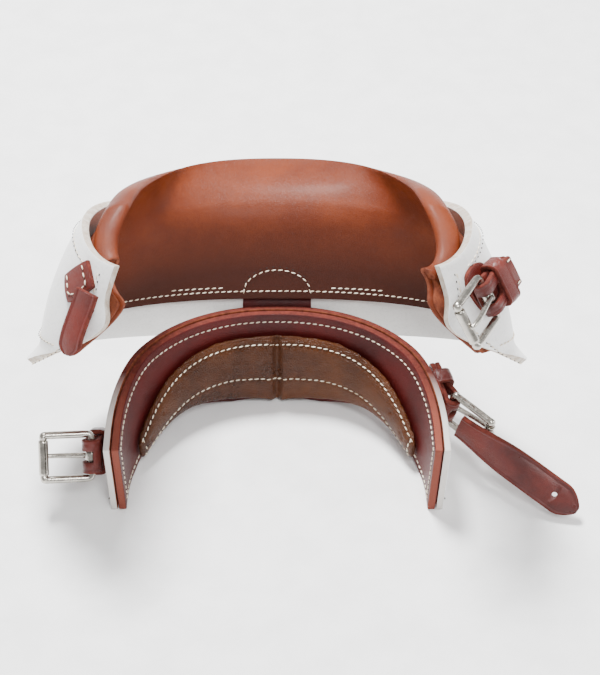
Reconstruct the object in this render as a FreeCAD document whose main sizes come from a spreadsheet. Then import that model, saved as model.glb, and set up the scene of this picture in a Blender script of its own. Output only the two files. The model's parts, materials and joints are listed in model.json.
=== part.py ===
"""Hinged leather leg boot: a lined cup with a rolled rim, hinged to a padded pastern band.

Units are millimetres. +Z is up, +Y is the back of the boot, +X is its right-hand side as seen from the
open front. The origin lies on the resting surface, in the middle of the back of the band's outer leather.
"""
import FreeCAD, Part
import math
import os

Vector = FreeCAD.Vector
Rotation = FreeCAD.Rotation

SIZES = {
    # cup, measured in the cup's own frame, whose origin is the middle of the hinge
    "cup_tilt": 26.0,
    "cup_half_width": 84.0,
    "cup_shoulder_half_width": 76.0,
    "cup_mouth_half_width": 64.5,
    "cup_shoulder_height": 29.0,
    "cup_mouth_height": 50.0,
    "cup_depth": 58.0,
    "wing_depth": 39.0,
    "wing_wrap": 135.0,
    "wing_corner_cutback": 50.0,
    "skirt_drop": 16.0,
    "skirt_lift": 6.0,
    "skirt_flare": 9.0,
    "skirt_side_flare": 13.0,
    "shell_thickness": 3.2,
    "shell_back_height": 40.0,
    "shell_side_height": 43.0,
    "shell_front_height": 35.0,
    "lining_thickness": 3.0,
    "layer_gap": 0.4,
    "collar_radius": 22.0,
    "collar_inset": 8.0,
    "rim_front_height": 31.0,
    "rim_wrap": 127.0,
    "roll_back_radius": 3.6,
    "roll_end_radius": 4.7,
    "roll_bore_radius": 1.9,
    "roll_cord_radius": 1.8,
    # hinge
    "hinge_height": 41.0,
    "tab_half_width": 14.0,
    "tab_rise": 11.0,
    "tab_drop": 16.0,
    "tab_thickness": 1.5,
    # pastern band
    "band_height": 40.3,
    "band_slant": 6.0,
    "band_radius": 65.0,
    "band_leg": 8.0,
    "band_arch": 5.0,
    "band_end_fall": 8.0,
    "band_setback": 2.2,
    "band_outer_thickness": 2.6,
    "band_lining_thickness": 3.0,
    "pad_bottom": 2.0,
    "pad_top": 32.5,
    "pad_end_height": 9.0,
    "pad_thickness": 6.5,
    "pad_edge_thickness": 2.4,
    "pad_skin": 1.2,
    "pad_length_share": 0.8,
    # straps and buckles
    "strap_width": 12.7,
    "strap_thickness": 2.2,
    "chape_length": 17.0,
    "chape_thickness": 2.0,
    "buckle_clearance": 0.65,
    "buckle_reach": 18.0,
    "bar_radius": 1.3,
    "side_bar_radius": 1.5,
    "knuckle_radius": 1.65,
    "corner_ball_radius": 1.9,
    "roller_bar_radius": 1.0,
    "roller_radius": 1.9,
    "running_gap": 0.06,
    "bar_gap": 0.3,
    "tongue_radius": 1.05,
    "tongue_eye_radius": 2.4,
    "tongue_eye_length": 3.2,
    "slot_length": 4.4,
    "keeper_width": 6.0,
    "keeper_wall": 1.8,
    "keeper_room": 5.0,
    "strap_point": 9.0,
    "strap_hole_radius": 1.1,
    "strap_hole_back": 2.0,
    "billet_width": 11.0,
    "patch_size": 13.0,
    "patch_thickness": 2.0,
    "seat_gap": 2.4,
}

SHELL_STATIONS = 45
TUBE_STATIONS = 29
SQUARENESS = 2.35
BAND_SQUARENESS = 2.2

doc = FreeCAD.newDocument("hinged_leg_boot")
sheet = doc.addObject("Spreadsheet::Sheet", "Sizes")
for row, (alias, number) in enumerate(SIZES.items(), start=1):
    sheet.set("A%d" % row, alias)
    sheet.set("B%d" % row, str(number))
    sheet.setAlias("B%d" % row, alias)
doc.recompute()


def size(alias):
    """The value of one cell of the sheet."""
    return float(getattr(sheet, alias))


def bind(item, **links):
    """Bind properties of an object to expressions on the sheet; a word alone is an alias."""
    for prop, expression in links.items():
        item.setExpression(prop.replace("__", "."), expression)


def cell(alias):
    return "Sizes." + alias


def smooth(share):
    """A soft step from 0 to 1."""
    share = min(max(share, 0.0), 1.0)
    return share * share * (3 - 2 * share)


def through(x, knots):
    """The parabola through three (x, y) pairs."""
    (x0, y0), (x1, y1), (x2, y2) = knots
    part0 = y0 * (x - x1) * (x - x2) / ((x0 - x1) * (x0 - x2))
    part1 = y1 * (x - x0) * (x - x2) / ((x1 - x0) * (x1 - x2))
    part2 = y2 * (x - x0) * (x - x1) / ((x2 - x0) * (x2 - x1))
    return part0 + part1 + part2


# ---------------------------------------------------------------- placements

FOOT_SETBACK = size("band_setback") + size("band_slant") + size("band_outer_thickness") / 2
HINGE = Vector(0, FOOT_SETBACK, size("hinge_height"))
CUP_PLACEMENT = FreeCAD.Placement(HINGE, Rotation(Vector(1, 0, 0), -size("cup_tilt")))
BAND_PLACEMENT = FreeCAD.Placement(HINGE - Vector(0, size("band_setback"), HINGE.z), Rotation())


def local_placement(base, origin, reach, outward):
    """A placement whose Y is the way a buckle reaches and whose Z points away from the leather."""
    z_axis = Vector(outward).normalize()
    y_axis = Vector(reach) - z_axis * Vector(reach).dot(z_axis)
    y_axis.normalize()
    turn = Rotation(y_axis.cross(z_axis), y_axis, z_axis, "ZXY")
    return base.multiply(FreeCAD.Placement(origin, turn))


# ---------------------------------------------------------------- solids from curved skins

def knots(count):
    """Knots and multiplicities of a clamped cubic spline with this many poles."""
    spans = count - 3
    return list(range(spans + 1)), [4] + [1] * (spans - 1) + [4]


def skin(grid):
    """A smooth cubic surface that has the grid's points as its poles."""
    row_knots, row_mults = knots(len(grid))
    column_knots, column_mults = knots(len(grid[0]))
    surface = Part.BSplineSurface()
    surface.buildFromPolesMultsKnots(grid, row_mults, column_mults, row_knots, column_knots,
                                     False, False, 3, 3)
    return surface.toShape()


def sheet_solid(front_grid, back_grid):
    """A closed solid between two skins that have the same rows and columns."""
    front = skin(front_grid)
    back = skin(back_grid)
    faces = [front, back]
    for one, other in zip(front.Edges, back.Edges):
        faces.append(Part.makeRuledSurface(one, other))
    shell = Part.makeShell(faces)
    shell.sewShape()
    solid = Part.makeSolid(shell)
    if solid.Volume < 0:
        solid.reverse()
    return solid


def tube_solid(centres, radii):
    """A solid lofted through circles that stand square to a path."""
    rings = []
    for index, centre in enumerate(centres):
        before = centres[max(index - 1, 0)]
        after = centres[min(index + 1, len(centres) - 1)]
        ring = Part.Circle(centre, after - before, radii[index])
        rings.append(Part.Wire([ring.toShape()]))
    return Part.makeLoft(rings, True, False)


def add_feature(label, shape, placement):
    feature = doc.addObject("Part::Feature", label)
    feature.Label = label
    feature.Shape = shape.Solids[0] if len(shape.Solids) == 1 else shape
    feature.Placement = placement
    return feature


def shares(count):
    """Evenly spaced numbers from -1 to 1."""
    return [-1 + 2 * index / (count - 1) for index in range(count)]


# ---------------------------------------------------------------- the cup's wall

def plan_point(angle, half_width, back, front_depth, z):
    """A point of the cup's plan curve: 0 degrees is the middle of the back, 90 the widest place."""
    sign = 1 if angle >= 0 else -1
    turn = math.radians(abs(angle))
    depth = size("cup_depth")
    if abs(angle) <= 90:
        across = half_width * math.sin(turn) ** (2 / SQUARENESS)
        inward = max(math.cos(turn), 0.0) ** (2 / SQUARENESS)
        return Vector(sign * across, back - (depth + back) * (1 - inward), z)
    across = half_width * math.sin(turn)
    return Vector(sign * across, -depth + front_depth * math.cos(turn), z)


def cup_half_width(z):
    knots = [(0, size("cup_half_width")),
             (size("cup_shoulder_height"), size("cup_shoulder_half_width")),
             (size("cup_mouth_height"), size("cup_mouth_half_width"))]
    return through(z, knots)


def cup_back(z):
    """How far back the shell's inner face stands at a height on the cup."""
    if z < 0:
        return size("skirt_flare") * (-z / size("skirt_drop")) ** 1.15
    above = max(z - size("cup_shoulder_height"), 0.0)
    return size("layer_gap") + 1.15 * above ** 2 / (2 * (size("collar_radius") - size("lining_thickness")))


def side_share(angle):
    """0 at the back, 1 at the widest place and on to the front."""
    return math.sin(math.radians(min(abs(angle), 90))) ** 2


def shell_bottom(angle):
    return -size("skirt_drop") + size("skirt_lift") * side_share(angle)


def shell_top(angle):
    back = size("shell_back_height")
    side = size("shell_side_height")
    fall = (side - size("shell_front_height")) * smooth((abs(angle) - 90) / 45)
    return back + (side - back) * side_share(angle) - fall


def wing_end(z):
    """The angle at which the shell ends in front, cut back in a round corner towards the bottom."""
    reach = size("skirt_drop")
    below = max(22 - z, 0.0) / (22 + reach)
    return size("wing_wrap") - size("wing_corner_cutback") * below ** 2


def shell_point(angle, z, offset):
    flare = size("skirt_side_flare") * (max(-z, 0.0) / size("skirt_drop")) ** 1.5
    half_width = cup_half_width(z) + flare + offset
    return plan_point(angle, half_width, cup_back(z) + offset, size("wing_depth") + offset, z)


def shell_grid(offset):
    rows = []
    for level in range(11):
        share = level / 10
        end = wing_end(-size("skirt_drop") + share * (size("skirt_drop") + size("shell_side_height")))
        row = []
        for station in shares(SHELL_STATIONS):
            angle = station * end
            low = shell_bottom(angle)
            row.append(shell_point(angle, low + share * (shell_top(angle) - low), offset))
        rows.append(row)
    return rows


def crease_height(angle):
    return size("cup_shoulder_height") - 9 * smooth((abs(angle) - 90) / 35)


def rim_height(angle):
    top = size("cup_shoulder_height") + size("collar_radius")
    return top - (top - size("rim_front_height")) * smooth((abs(angle) - 80) / 45)


def lining_bottom(angle):
    return 1.5 - 1.0 * side_share(angle)


def back_weight(angle):
    return math.cos(math.radians(min(abs(angle), 90))) ** 2


def collar_point(angle, share, depth_in_wall):
    """A point of the lining: share runs 0 to 1 up the wall, then 1 to 2 up the collar."""
    weight = back_weight(angle)
    low = lining_bottom(angle)
    crease = crease_height(angle)
    rise = max(share - 1, 0.0)
    lean = math.radians(90 * rise)
    offset = -size("layer_gap") - size("lining_thickness") + depth_in_wall * math.cos(lean * weight)
    sink = depth_in_wall * math.sin(lean * weight)
    if share <= 1:
        z = low + share * (crease - low)
    else:
        z = crease + (rim_height(angle) - crease) * (weight * math.sin(lean) + (1 - weight) * rise)
    back = size("collar_radius") * (1 - math.cos(lean))
    half_width = cup_half_width(z) + offset - size("collar_inset") * rise
    base = 0.0 if z >= 0 else cup_back(z)
    front = size("wing_depth") + offset
    point = plan_point(angle, half_width, base + back + offset, front, z)
    return point - Vector(0, 0, sink)


COLLAR_END = 1.84


def lining_end(share):
    rise = max(share - 1, 0.0)
    wall_end = size("wing_wrap") - 8 * max(1 - share, 0.0) ** 2
    return wall_end + (size("rim_wrap") - wall_end) * smooth(rise)


def lining_grid(depth_in_wall):
    rows = []
    for level in range(13):
        share = level * COLLAR_END / 12
        row = []
        for station in shares(SHELL_STATIONS):
            row.append(collar_point(station * lining_end(share), share, depth_in_wall))
        rows.append(row)
    return rows


def roll_path():
    """Centres of the rolled rim and the radius at each."""
    centres = []
    radii = []
    for station in shares(TUBE_STATIONS):
        angle = station * size("rim_wrap")
        growth = size("roll_end_radius") - size("roll_back_radius")
        radius = size("roll_back_radius") + growth * side_share(angle)
        edge = collar_point(angle, 2.0, size("lining_thickness") / 2)
        inner = collar_point(angle, 1.9, size("lining_thickness") / 2)
        away = (edge - inner).normalize()
        centres.append(edge + away * (radius + size("layer_gap")))
        radii.append(radius)
    return centres, radii


def make_cup():
    shell_solid = sheet_solid(shell_grid(0.0), shell_grid(size("shell_thickness")))
    shell = add_feature("cup_shell", shell_solid, CUP_PLACEMENT)
    lining = sheet_solid(lining_grid(0.0), lining_grid(size("lining_thickness")))
    add_feature("cup_lining", lining, CUP_PLACEMENT)
    centres, radii = roll_path()
    bore = tube_solid(centres, [size("roll_bore_radius")] * len(radii))
    add_feature("rim_roll", tube_solid(centres, radii).cut(bore), CUP_PLACEMENT)
    cord = tube_solid(centres, [size("roll_cord_radius")] * len(radii))
    add_feature("rim_cord", cord, CUP_PLACEMENT)
    return shell


# ---------------------------------------------------------------- the pastern band

FOOT_CUT = 2.0


def band_half_length(radius):
    """Length of the plan curve from the middle of the back to the end of a leg."""
    return 0.5 * math.pi * radius * 1.03 + size("band_leg")


def band_point(share, inset, z):
    """A point of the band's plan curve; share runs -1 to 1 from leg end to leg end."""
    radius = size("band_radius")
    length = abs(share) * band_half_length(radius)
    bend = band_half_length(radius) - size("band_leg")
    sign = 1 if share >= 0 else -1
    slant = size("band_slant") * (1 - 0.75 * smooth(2 * abs(share) - 1))
    inset = inset + slant * (1 - z / size("band_height"))
    reach = radius - inset
    if length <= bend:
        turn = 0.5 * math.pi * length / bend
        across = reach * math.sin(turn) ** (2 / BAND_SQUARENESS)
        inward = max(math.cos(turn), 0.0) ** (2 / BAND_SQUARENESS)
        return Vector(sign * across, -inset - reach * (1 - inward), z)
    return Vector(sign * reach, -radius - (length - bend), z)


def band_low(share):
    """The lower edge: an arch each side, drawn a little below the floor where the band is cut off flat."""
    return -FOOT_CUT + (size("band_arch") + FOOT_CUT) * math.sin(math.pi * share) ** 2


def band_high(share):
    return size("band_height") - size("band_end_fall") * smooth((abs(share) - 0.55) / 0.45)


def band_grid(inset):
    rows = []
    for level in range(7):
        up = level / 6
        row = []
        for share in shares(SHELL_STATIONS):
            low = band_low(share)
            row.append(band_point(share, inset, low + up * (band_high(share) - low)))
        rows.append(row)
    return rows


def pad_grid(inset, bulge, margin):
    """One skin of the pad: inset from the band's outer face, swelling by bulge in the middle."""
    rows = []
    low = size("pad_bottom") + margin
    high = size("pad_top") - margin
    span = size("pad_length_share") * (1 - margin / band_half_length(size("band_radius")))
    for level in range(9):
        up = level / 8
        row = []
        for share in shares(SHELL_STATIONS):
            swell = bulge * math.sin(math.pi * up) ** 0.6 * (1 - share ** 8) ** 0.5
            end_height = size("pad_end_height") - 2 * margin
            crown = end_height + (high - low - end_height) * (1 - abs(share) ** 2.6)
            arch = size("band_arch") * math.sin(math.pi * share * span) ** 2
            row.append(band_point(share * span, inset + swell, low + arch + up * (crown - arch)))
        rows.append(row)
    return rows


def band_layer(near, far):
    """One leather layer of the band, cut off flat at the floor."""
    reach = 2 * size("band_radius")
    floor = Part.makeBox(2 * reach, 2 * reach, 2 * FOOT_CUT, Vector(-reach, -reach, -2 * FOOT_CUT))
    return sheet_solid(band_grid(near), band_grid(far)).cut(floor)


def make_band():
    outer = size("band_outer_thickness")
    lining_back = outer + size("layer_gap")
    lining_face = lining_back + size("band_lining_thickness")
    add_feature("band_outer", band_layer(0.0, outer), BAND_PLACEMENT)
    add_feature("band_lining", band_layer(lining_back, lining_face), BAND_PLACEMENT)
    pad_back = lining_face + size("layer_gap")
    edge = size("pad_edge_thickness")
    skin_depth = size("pad_skin")
    swell = size("pad_thickness") - edge
    whole = sheet_solid(pad_grid(pad_back, 0.0, 0.0), pad_grid(pad_back + edge, swell, 0.0))
    hollow_back = pad_back + 0.3 * edge
    hollow_face = pad_back + 0.7 * edge
    hollow_swell = swell - skin_depth
    hollow = sheet_solid(pad_grid(hollow_back, 0.0, skin_depth),
                         pad_grid(hollow_face, hollow_swell, skin_depth))
    add_feature("band_pad_cover", whole.cut(hollow), BAND_PLACEMENT)
    thin = 0.1 * edge
    filling = sheet_solid(pad_grid(hollow_back + thin, 0.0, skin_depth + size("layer_gap")),
                          pad_grid(hollow_face - thin, hollow_swell, skin_depth + size("layer_gap")))
    add_feature("band_pad_filling", filling, BAND_PLACEMENT)


# ---------------------------------------------------------------- the hinge leather

HINGE_NIP = 0.4


def hinge_half(straight, drop, thickness, radius, way):
    """A flat leather half: square at the hinge line, rounded at its sewn end; way is 1 up or -1 down."""
    nip = way * HINGE_NIP
    turn = way * straight
    arc = Part.Arc(Vector(radius, 0, turn), Vector(0, 0, way * drop), Vector(-radius, 0, turn))
    corners = [Vector(-radius, 0, turn), Vector(-radius, 0, nip), Vector(radius, 0, nip),
               Vector(radius, 0, turn)]
    lines = [Part.LineSegment(corners[i], corners[i + 1]) for i in range(3)]
    wire = Part.Wire([edge.toShape() for edge in [arc] + lines])
    return Part.Face(wire).extrude(Vector(0, thickness, 0))


def make_hinge(shell):
    """The half-moon leather: one half sewn into the cup, the other down the back of the band.

    The shell is skived where the half-moon lies, so that the two don't share any space.
    """
    radius = size("tab_half_width")
    thickness = size("tab_thickness")
    gap = size("layer_gap")
    upper = hinge_half(1.0, size("tab_rise"), thickness, radius, 1)
    recess = hinge_half(1.0, size("tab_rise") + gap, thickness + 2 * gap, radius + gap, 1)
    below = Part.makeBox(2 * (radius + gap), thickness + 2 * gap, 2 * HINGE_NIP,
                         Vector(-radius - gap, 0, -HINGE_NIP))
    recess = recess.fuse(below)
    recess.Placement = CUP_PLACEMENT.multiply(FreeCAD.Placement(Vector(0, -gap, 0), Rotation()))
    shell.Shape = shell.Shape.cut(recess)
    add_feature("hinge_leather_cup", upper, CUP_PLACEMENT)
    lower = hinge_half(4.0, size("tab_drop"), thickness, radius, -1)
    slope = math.degrees(math.atan2(size("band_slant"), size("band_height")))
    start = HINGE - Vector(0, size("band_setback") - 0.3, 0)
    add_feature("hinge_leather_band", lower, FreeCAD.Placement(start, Rotation(Vector(1, 0, 0), -slope)))


# ---------------------------------------------------------------- buckles

def cylinder(name, radius, height, placement):
    item = doc.addObject("Part::Cylinder", name)
    bind(item, Radius=radius, Height=height)
    item.Placement = placement
    return item


def along_x(x, y, z):
    """A placement that lays a cylinder's axis along X."""
    return FreeCAD.Placement(Vector(x, y, z), Rotation(Vector(0, 1, 0), 90))


def along_y(x, y, z, pitch=0.0):
    return FreeCAD.Placement(Vector(x, y, z), Rotation(Vector(1, 0, 0), -90 + pitch))


def half_gap():
    """From the middle of the buckle to the middle of a side bar."""
    return size("strap_width") / 2 + size("buckle_clearance") + size("side_bar_radius")


HALF_GAP_CELL = "(Sizes.strap_width / 2 + Sizes.buckle_clearance + Sizes.side_bar_radius)"


def fuse(label, pieces, placement):
    whole = doc.addObject("Part::MultiFuse", label)
    whole.Label = label
    whole.Shapes = pieces
    whole.Placement = placement
    return whole


def buckle_frame(label, placement):
    """A wire frame: chape bar on the X axis, roller bar at the far end, balls at the far corners."""
    reach = size("buckle_reach")
    across = half_gap()
    pieces = [cylinder(label + "_chape_bar", cell("bar_radius"), "2 * " + HALF_GAP_CELL,
                       along_x(-across, 0, 0)),
              cylinder(label + "_roller_bar", cell("roller_bar_radius"), "2 * " + HALF_GAP_CELL,
                       along_x(-across, reach, 0))]
    for side in (-1, 1):
        tag = "_left" if side < 0 else "_right"
        pieces.append(cylinder(label + tag + "_bar", cell("side_bar_radius"), cell("buckle_reach"),
                               along_y(side * across, 0, 0)))
        for end, radius in ((0, "knuckle_radius"), (reach, "corner_ball_radius")):
            ball = doc.addObject("Part::Sphere", label + tag + "_" + radius)
            bind(ball, Radius=cell(radius))
            ball.Placement = FreeCAD.Placement(Vector(side * across, end, 0), Rotation(Vector(1, 1, 0), 35))
            pieces.append(ball)
    return fuse(label, pieces, placement)


def buckle_roller(label, placement):
    """The sleeve that turns on the roller bar."""
    half = half_gap() - size("corner_ball_radius") - 0.2
    length = "2 * (" + HALF_GAP_CELL + " - Sizes.corner_ball_radius - 0.2)"
    start = along_x(-half, size("buckle_reach"), 0)
    bore = "Sizes.roller_bar_radius + Sizes.running_gap"
    sleeve = doc.addObject("Part::Cut", label)
    sleeve.Label = label
    sleeve.Base = cylinder(label + "_outside", cell("roller_radius"), length, start)
    sleeve.Tool = cylinder(label + "_bore", bore, length, start)
    sleeve.Placement = placement
    return sleeve


def buckle_tongue(label, placement):
    """An eye round the chape bar and a prong that rests on the roller."""
    half = size("tongue_eye_length") / 2
    prong_base = size("tongue_eye_radius") - size("tongue_radius")
    prong_tip = size("roller_radius") + size("tongue_radius") + 0.15
    reach = size("buckle_reach")
    run = reach + size("roller_radius")
    pitch = math.degrees(math.atan2(prong_tip - prong_base, reach))
    prong_start = along_y(0, 0, prong_base, pitch)
    prong = cylinder(label + "_prong", cell("tongue_radius"), "Sizes.buckle_reach + Sizes.roller_radius",
                     prong_start)
    tip = doc.addObject("Part::Sphere", label + "_tip")
    bind(tip, Radius=cell("tongue_radius"))
    tip.Placement = FreeCAD.Placement(prong_start.multVec(Vector(0, 0, run)), Rotation())
    eye = cylinder(label + "_eye", cell("tongue_eye_radius"), cell("tongue_eye_length"), along_x(-half, 0, 0))
    body = doc.addObject("Part::MultiFuse", label + "_body")
    body.Shapes = [eye, prong, tip]
    bore = cylinder(label + "_bore", "Sizes.bar_radius + Sizes.running_gap", cell("tongue_eye_length"),
                    along_x(-half, 0, 0))
    tongue = doc.addObject("Part::Cut", label)
    tongue.Label = label
    tongue.Base = body
    tongue.Tool = bore
    tongue.Placement = placement
    return tongue


def origin_plane(body, role):
    for plane in body.Origin.OriginFeatures:
        if plane.Role == role:
            return plane
    raise ValueError("no plane called " + role)


def sketch_on(body, name, role):
    sketch = body.newObject("Sketcher::SketchObject", name)
    sketch.AttachmentSupport = [(origin_plane(body, role), "")]
    sketch.MapMode = "FlatFace"
    return sketch


def add_outline(sketch, points):
    for start, end in zip(points, points[1:] + points[:1]):
        sketch.addGeometry(Part.LineSegment(Vector(*start, 0), Vector(*end, 0)), False)


def buckle_chape(label, placement):
    """A strap folded round the chape bar and sewn to itself, with a slot for the tongue."""
    inner = size("bar_radius") + size("bar_gap")
    outer = inner + size("chape_thickness")
    tail = -size("chape_length")
    middle = 0.3 * size("chape_thickness")
    body = doc.addObject("PartDesign::Body", label)
    body.Label = label
    profile = sketch_on(body, label + "_profile", "YZ_Plane")
    corners = [(0, outer), (-2.2 * outer, middle), (tail, middle), (tail, -outer), (0, -outer)]
    for start, end in zip(corners, corners[1:]):
        profile.addGeometry(Part.LineSegment(Vector(*start, 0), Vector(*end, 0)), False)
    round_end = Part.Circle(Vector(0, 0, 0), Vector(0, 0, 1), outer)
    profile.addGeometry(Part.ArcOfCircle(round_end, -math.pi / 2, math.pi / 2), False)
    profile.addGeometry(Part.Circle(Vector(0, 0, 0), Vector(0, 0, 1), inner), False)
    pad = body.newObject("PartDesign::Pad", label + "_fold")
    pad.Profile = profile
    pad.Midplane = True
    pad.setExpression("Length", cell("strap_width"))
    doc.recompute()
    slot_outline = sketch_on(body, label + "_slot_outline", "XY_Plane")
    half = size("slot_length") / 2
    deep = -1.7 * outer
    add_outline(slot_outline, [(-half, deep), (half, deep), (half, 2 * outer), (-half, 2 * outer)])
    slot = body.newObject("PartDesign::Pocket", label + "_slot")
    slot.Profile = slot_outline
    slot.Type = 1
    slot.Midplane = True
    body.Placement = placement
    return body


def buckle_keeper(label, placement):
    """A flat leather loop behind the chape for the strap's end."""
    wide = size("strap_width") + 1.2
    wall = size("keeper_wall")
    room = size("keeper_room")
    body = doc.addObject("PartDesign::Body", label)
    body.Label = label
    outline = sketch_on(body, label + "_outline", "XZ_Plane")
    half = wide / 2
    low = -(size("bar_radius") + size("bar_gap") + size("chape_thickness") + wall + 0.1)
    add_outline(outline, [(-half - wall, low), (half + wall, low), (half + wall, low + 2 * wall + room),
                          (-half - wall, low + 2 * wall + room)])
    add_outline(outline, [(-half, low + wall), (half, low + wall), (half, low + wall + room),
                          (-half, low + wall + room)])
    pad = body.newObject("PartDesign::Pad", label + "_band")
    pad.Profile = outline
    pad.Midplane = True
    pad.setExpression("Length", cell("keeper_width"))
    body.Placement = placement
    return body


def make_buckle(name, seat, lift):
    """A whole buckle: seat is the chape's placement, lift turns the frame up about the chape bar."""
    raised = seat.multiply(FreeCAD.Placement(Vector(0, 0, 0), Rotation(Vector(1, 0, 0), lift)))
    buckle_chape(name + "_chape", seat)
    behind = Vector(0, -0.55 * size("chape_length"), 0)
    buckle_keeper(name + "_keeper", seat.multiply(FreeCAD.Placement(behind, Rotation())))
    buckle_frame(name + "_buckle_frame", raised)
    buckle_roller(name + "_buckle_roller", raised)
    buckle_tongue(name + "_buckle_tongue", raised)
    return raised


# ---------------------------------------------------------------- straps

def curve_point(points, share):
    """A point of the parabola that leaves the first point towards the second and ends at the third."""
    start, middle, end = points
    return start * (1 - share) ** 2 + middle * (2 * share * (1 - share)) + end * share ** 2


def strap_frame(points, widths, share):
    """Centre, across and outward directions of the strap at a share of its length."""
    centre = curve_point(points, share)
    along = (curve_point(points, share + 0.01) - curve_point(points, share - 0.01)).normalize()
    across = widths[0] * (1 - smooth(share * 1.6)) + widths[1] * smooth(share * 1.6)
    across = (across - along * across.dot(along)).normalize()
    return centre, along, across, along.cross(across)


def make_strap(label, points, widths):
    """A strap with a pointed end and a hole, twisting from one width direction to another."""
    half = size("strap_width") / 2
    thickness = size("strap_thickness")
    grids = []
    for depth in (thickness, 0.0):
        rows = []
        for level in range(4):
            side = half * (-1 + 2 * level / 3)
            row = []
            for step in range(17):
                centre, along, across, outward = strap_frame(points, widths, step / 16)
                row.append(centre + across * side + outward * depth)
            rows.append(row)
        grids.append(rows)
    strap = sheet_solid(*grids)
    centre, along, across, outward = strap_frame(points, widths, 1.0)
    for side in (-1, 1):
        corner = centre + across * (side * half)
        cut_start = corner - along * size("strap_point")
        triangle = [centre + along * 2, corner + across * (2 * side) + along * 2,
                    cut_start + across * (2 * side), cut_start]
        wire = Part.makePolygon([point + outward * 6 for point in triangle + triangle[:1]])
        strap = strap.cut(Part.Face(wire).extrude(outward * -12))
    length = sum((curve_point(points, (i + 1) / 20) - curve_point(points, i / 20)).Length for i in range(20))
    share = 1 - (size("strap_point") + size("strap_hole_back")) / length
    centre, along, across, outward = strap_frame(points, widths, share)
    drill = Part.makeCylinder(size("strap_hole_radius"), 12, centre - outward * 6, outward)
    strap = strap.cut(drill)
    add_feature(label, strap, FreeCAD.Placement())


def make_billet(label, angle, low, high):
    """A short strap that hangs along the outside of a wing."""
    stand_off = size("shell_thickness") + size("patch_thickness") + 1.6
    half_turn = 0.5 * size("billet_width") / size("cup_half_width") * 57.3
    grids = []
    for offset in (stand_off, stand_off + size("strap_thickness")):
        rows = []
        for level in range(7):
            z = low + (high - low) * level / 6
            rows.append([shell_point(angle + half_turn * step, z, offset) for step in shares(5)])
        grids.append(rows)
    add_feature(label, sheet_solid(*grids), CUP_PLACEMENT)


def make_patch(label, seat):
    """The square leather patch that holds the billet to the wing."""
    patch = doc.addObject("Part::Box", label)
    patch.Label = label
    bind(patch, Length=cell("patch_size"), Width=cell("patch_size"), Height=cell("patch_thickness"))
    half = size("patch_size") / 2
    patch.Placement = seat.multiply(FreeCAD.Placement(Vector(-half, -half, 0.8 - seat_clearance()), Rotation()))


def wing_seat(angle, height, dip):
    """A seat on the outside of a wing: it reaches towards the wing's end, dipping by an angle."""
    offset = size("shell_thickness")
    here = shell_point(angle, height, offset)
    sign = 1 if angle > 0 else -1
    forward = (shell_point(angle + sign, height, offset) - shell_point(angle - sign, height, offset)).normalize()
    up = (shell_point(angle, height + 1, offset) - shell_point(angle, height - 1, offset)).normalize()
    outward = up.cross(forward) * sign
    tip = math.radians(dip)
    reach = forward * math.cos(tip) - up * math.sin(tip)
    return local_placement(CUP_PLACEMENT, here + outward * seat_clearance(), reach, outward)


def seat_clearance():
    return size("bar_radius") + size("bar_gap") + size("chape_thickness") + size("seat_gap")


def leg_seat(side, share, height, lean):
    """A seat on the outside of a band leg: it reaches towards the leg's end, tipped up by an angle."""
    here = band_point(side * share, 0.0, height)
    ahead = band_point(side * (share + 0.01), 0.0, height)
    behind = band_point(side * (share - 0.01), 0.0, height)
    forward = (ahead - behind).normalize()
    up = (band_point(side * share, 0.0, height + 1) - band_point(side * share, 0.0, height - 1)).normalize()
    outward = up.cross(forward) * side
    tip = math.radians(lean)
    reach = forward * math.cos(tip) + up * math.sin(tip)
    return local_placement(BAND_PLACEMENT, here + outward * seat_clearance(), reach, outward)


# ---------------------------------------------------------------- assembly

def build():
    shell = make_cup()
    make_hinge(shell)
    make_band()
    make_buckle("wing", wing_seat(121, 22.5, 24), 12)
    make_buckle("band_left", leg_seat(-1, 0.93, 21.5, 35), 80)
    right = make_buckle("band_right", leg_seat(1, 0.75, 25.5, -15), 34)
    make_patch("wing_patch", wing_seat(-119, 28, 45))
    make_billet("wing_billet", -128, 4, 26)
    under = -size("roller_radius") - 1.4
    start = right.multVec(Vector(0, size("buckle_reach") - 7, under))
    knee = right.multVec(Vector(0, size("buckle_reach") + 16, under))
    bar = right.Rotation.multVec(Vector(1, 0, 0))
    end = Vector(114, -79 + FOOT_SETBACK, 4)
    make_strap("band_strap", [start, knee, end], [bar, Vector(0.5, 0.44, 0.74)])


def finished_pieces():
    """The named pieces: bodies, and the shapes that nothing else is built from."""
    bodies = [item for item in doc.Objects if item.TypeId == "PartDesign::Body"]
    shapes = [item for item in doc.Objects if item.TypeId.startswith("Part::") and not item.InList]
    return bodies + shapes


def check(pieces):
    """Stop before anything is written if a step failed or a piece isn't a sound solid."""
    for item in doc.Objects:
        if "Invalid" in item.State or "Error" in item.State:
            raise RuntimeError("%s didn't recompute" % item.Label)
    for piece in pieces:
        if piece.Shape.isNull() or not piece.Shape.isValid():
            raise RuntimeError("%s has no sound shape" % piece.Label)


def export(pieces):
    os.makedirs("parts", exist_ok=True)
    for piece in pieces:
        piece.Shape.exportStep("parts/%s.step" % piece.Label)


build()
doc.recompute()
finished = finished_pieces()
check(finished)
export(finished)
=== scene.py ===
"""The looks of a hinged leather leg boot: lined cup, rolled rim, padded pastern band, straps and buckles.

Lengths inside the forms are millimetres; everything that reaches a mesh is metres in the CAD frame.
"""
import json
import logging
import math
from dataclasses import dataclass
from enum import Enum
from typing import Callable, Iterable, Sequence

import bmesh
import bpy
from mathutils import Matrix, Vector
from mathutils.bvhtree import BVHTree
from mathutils.kdtree import KDTree

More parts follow.
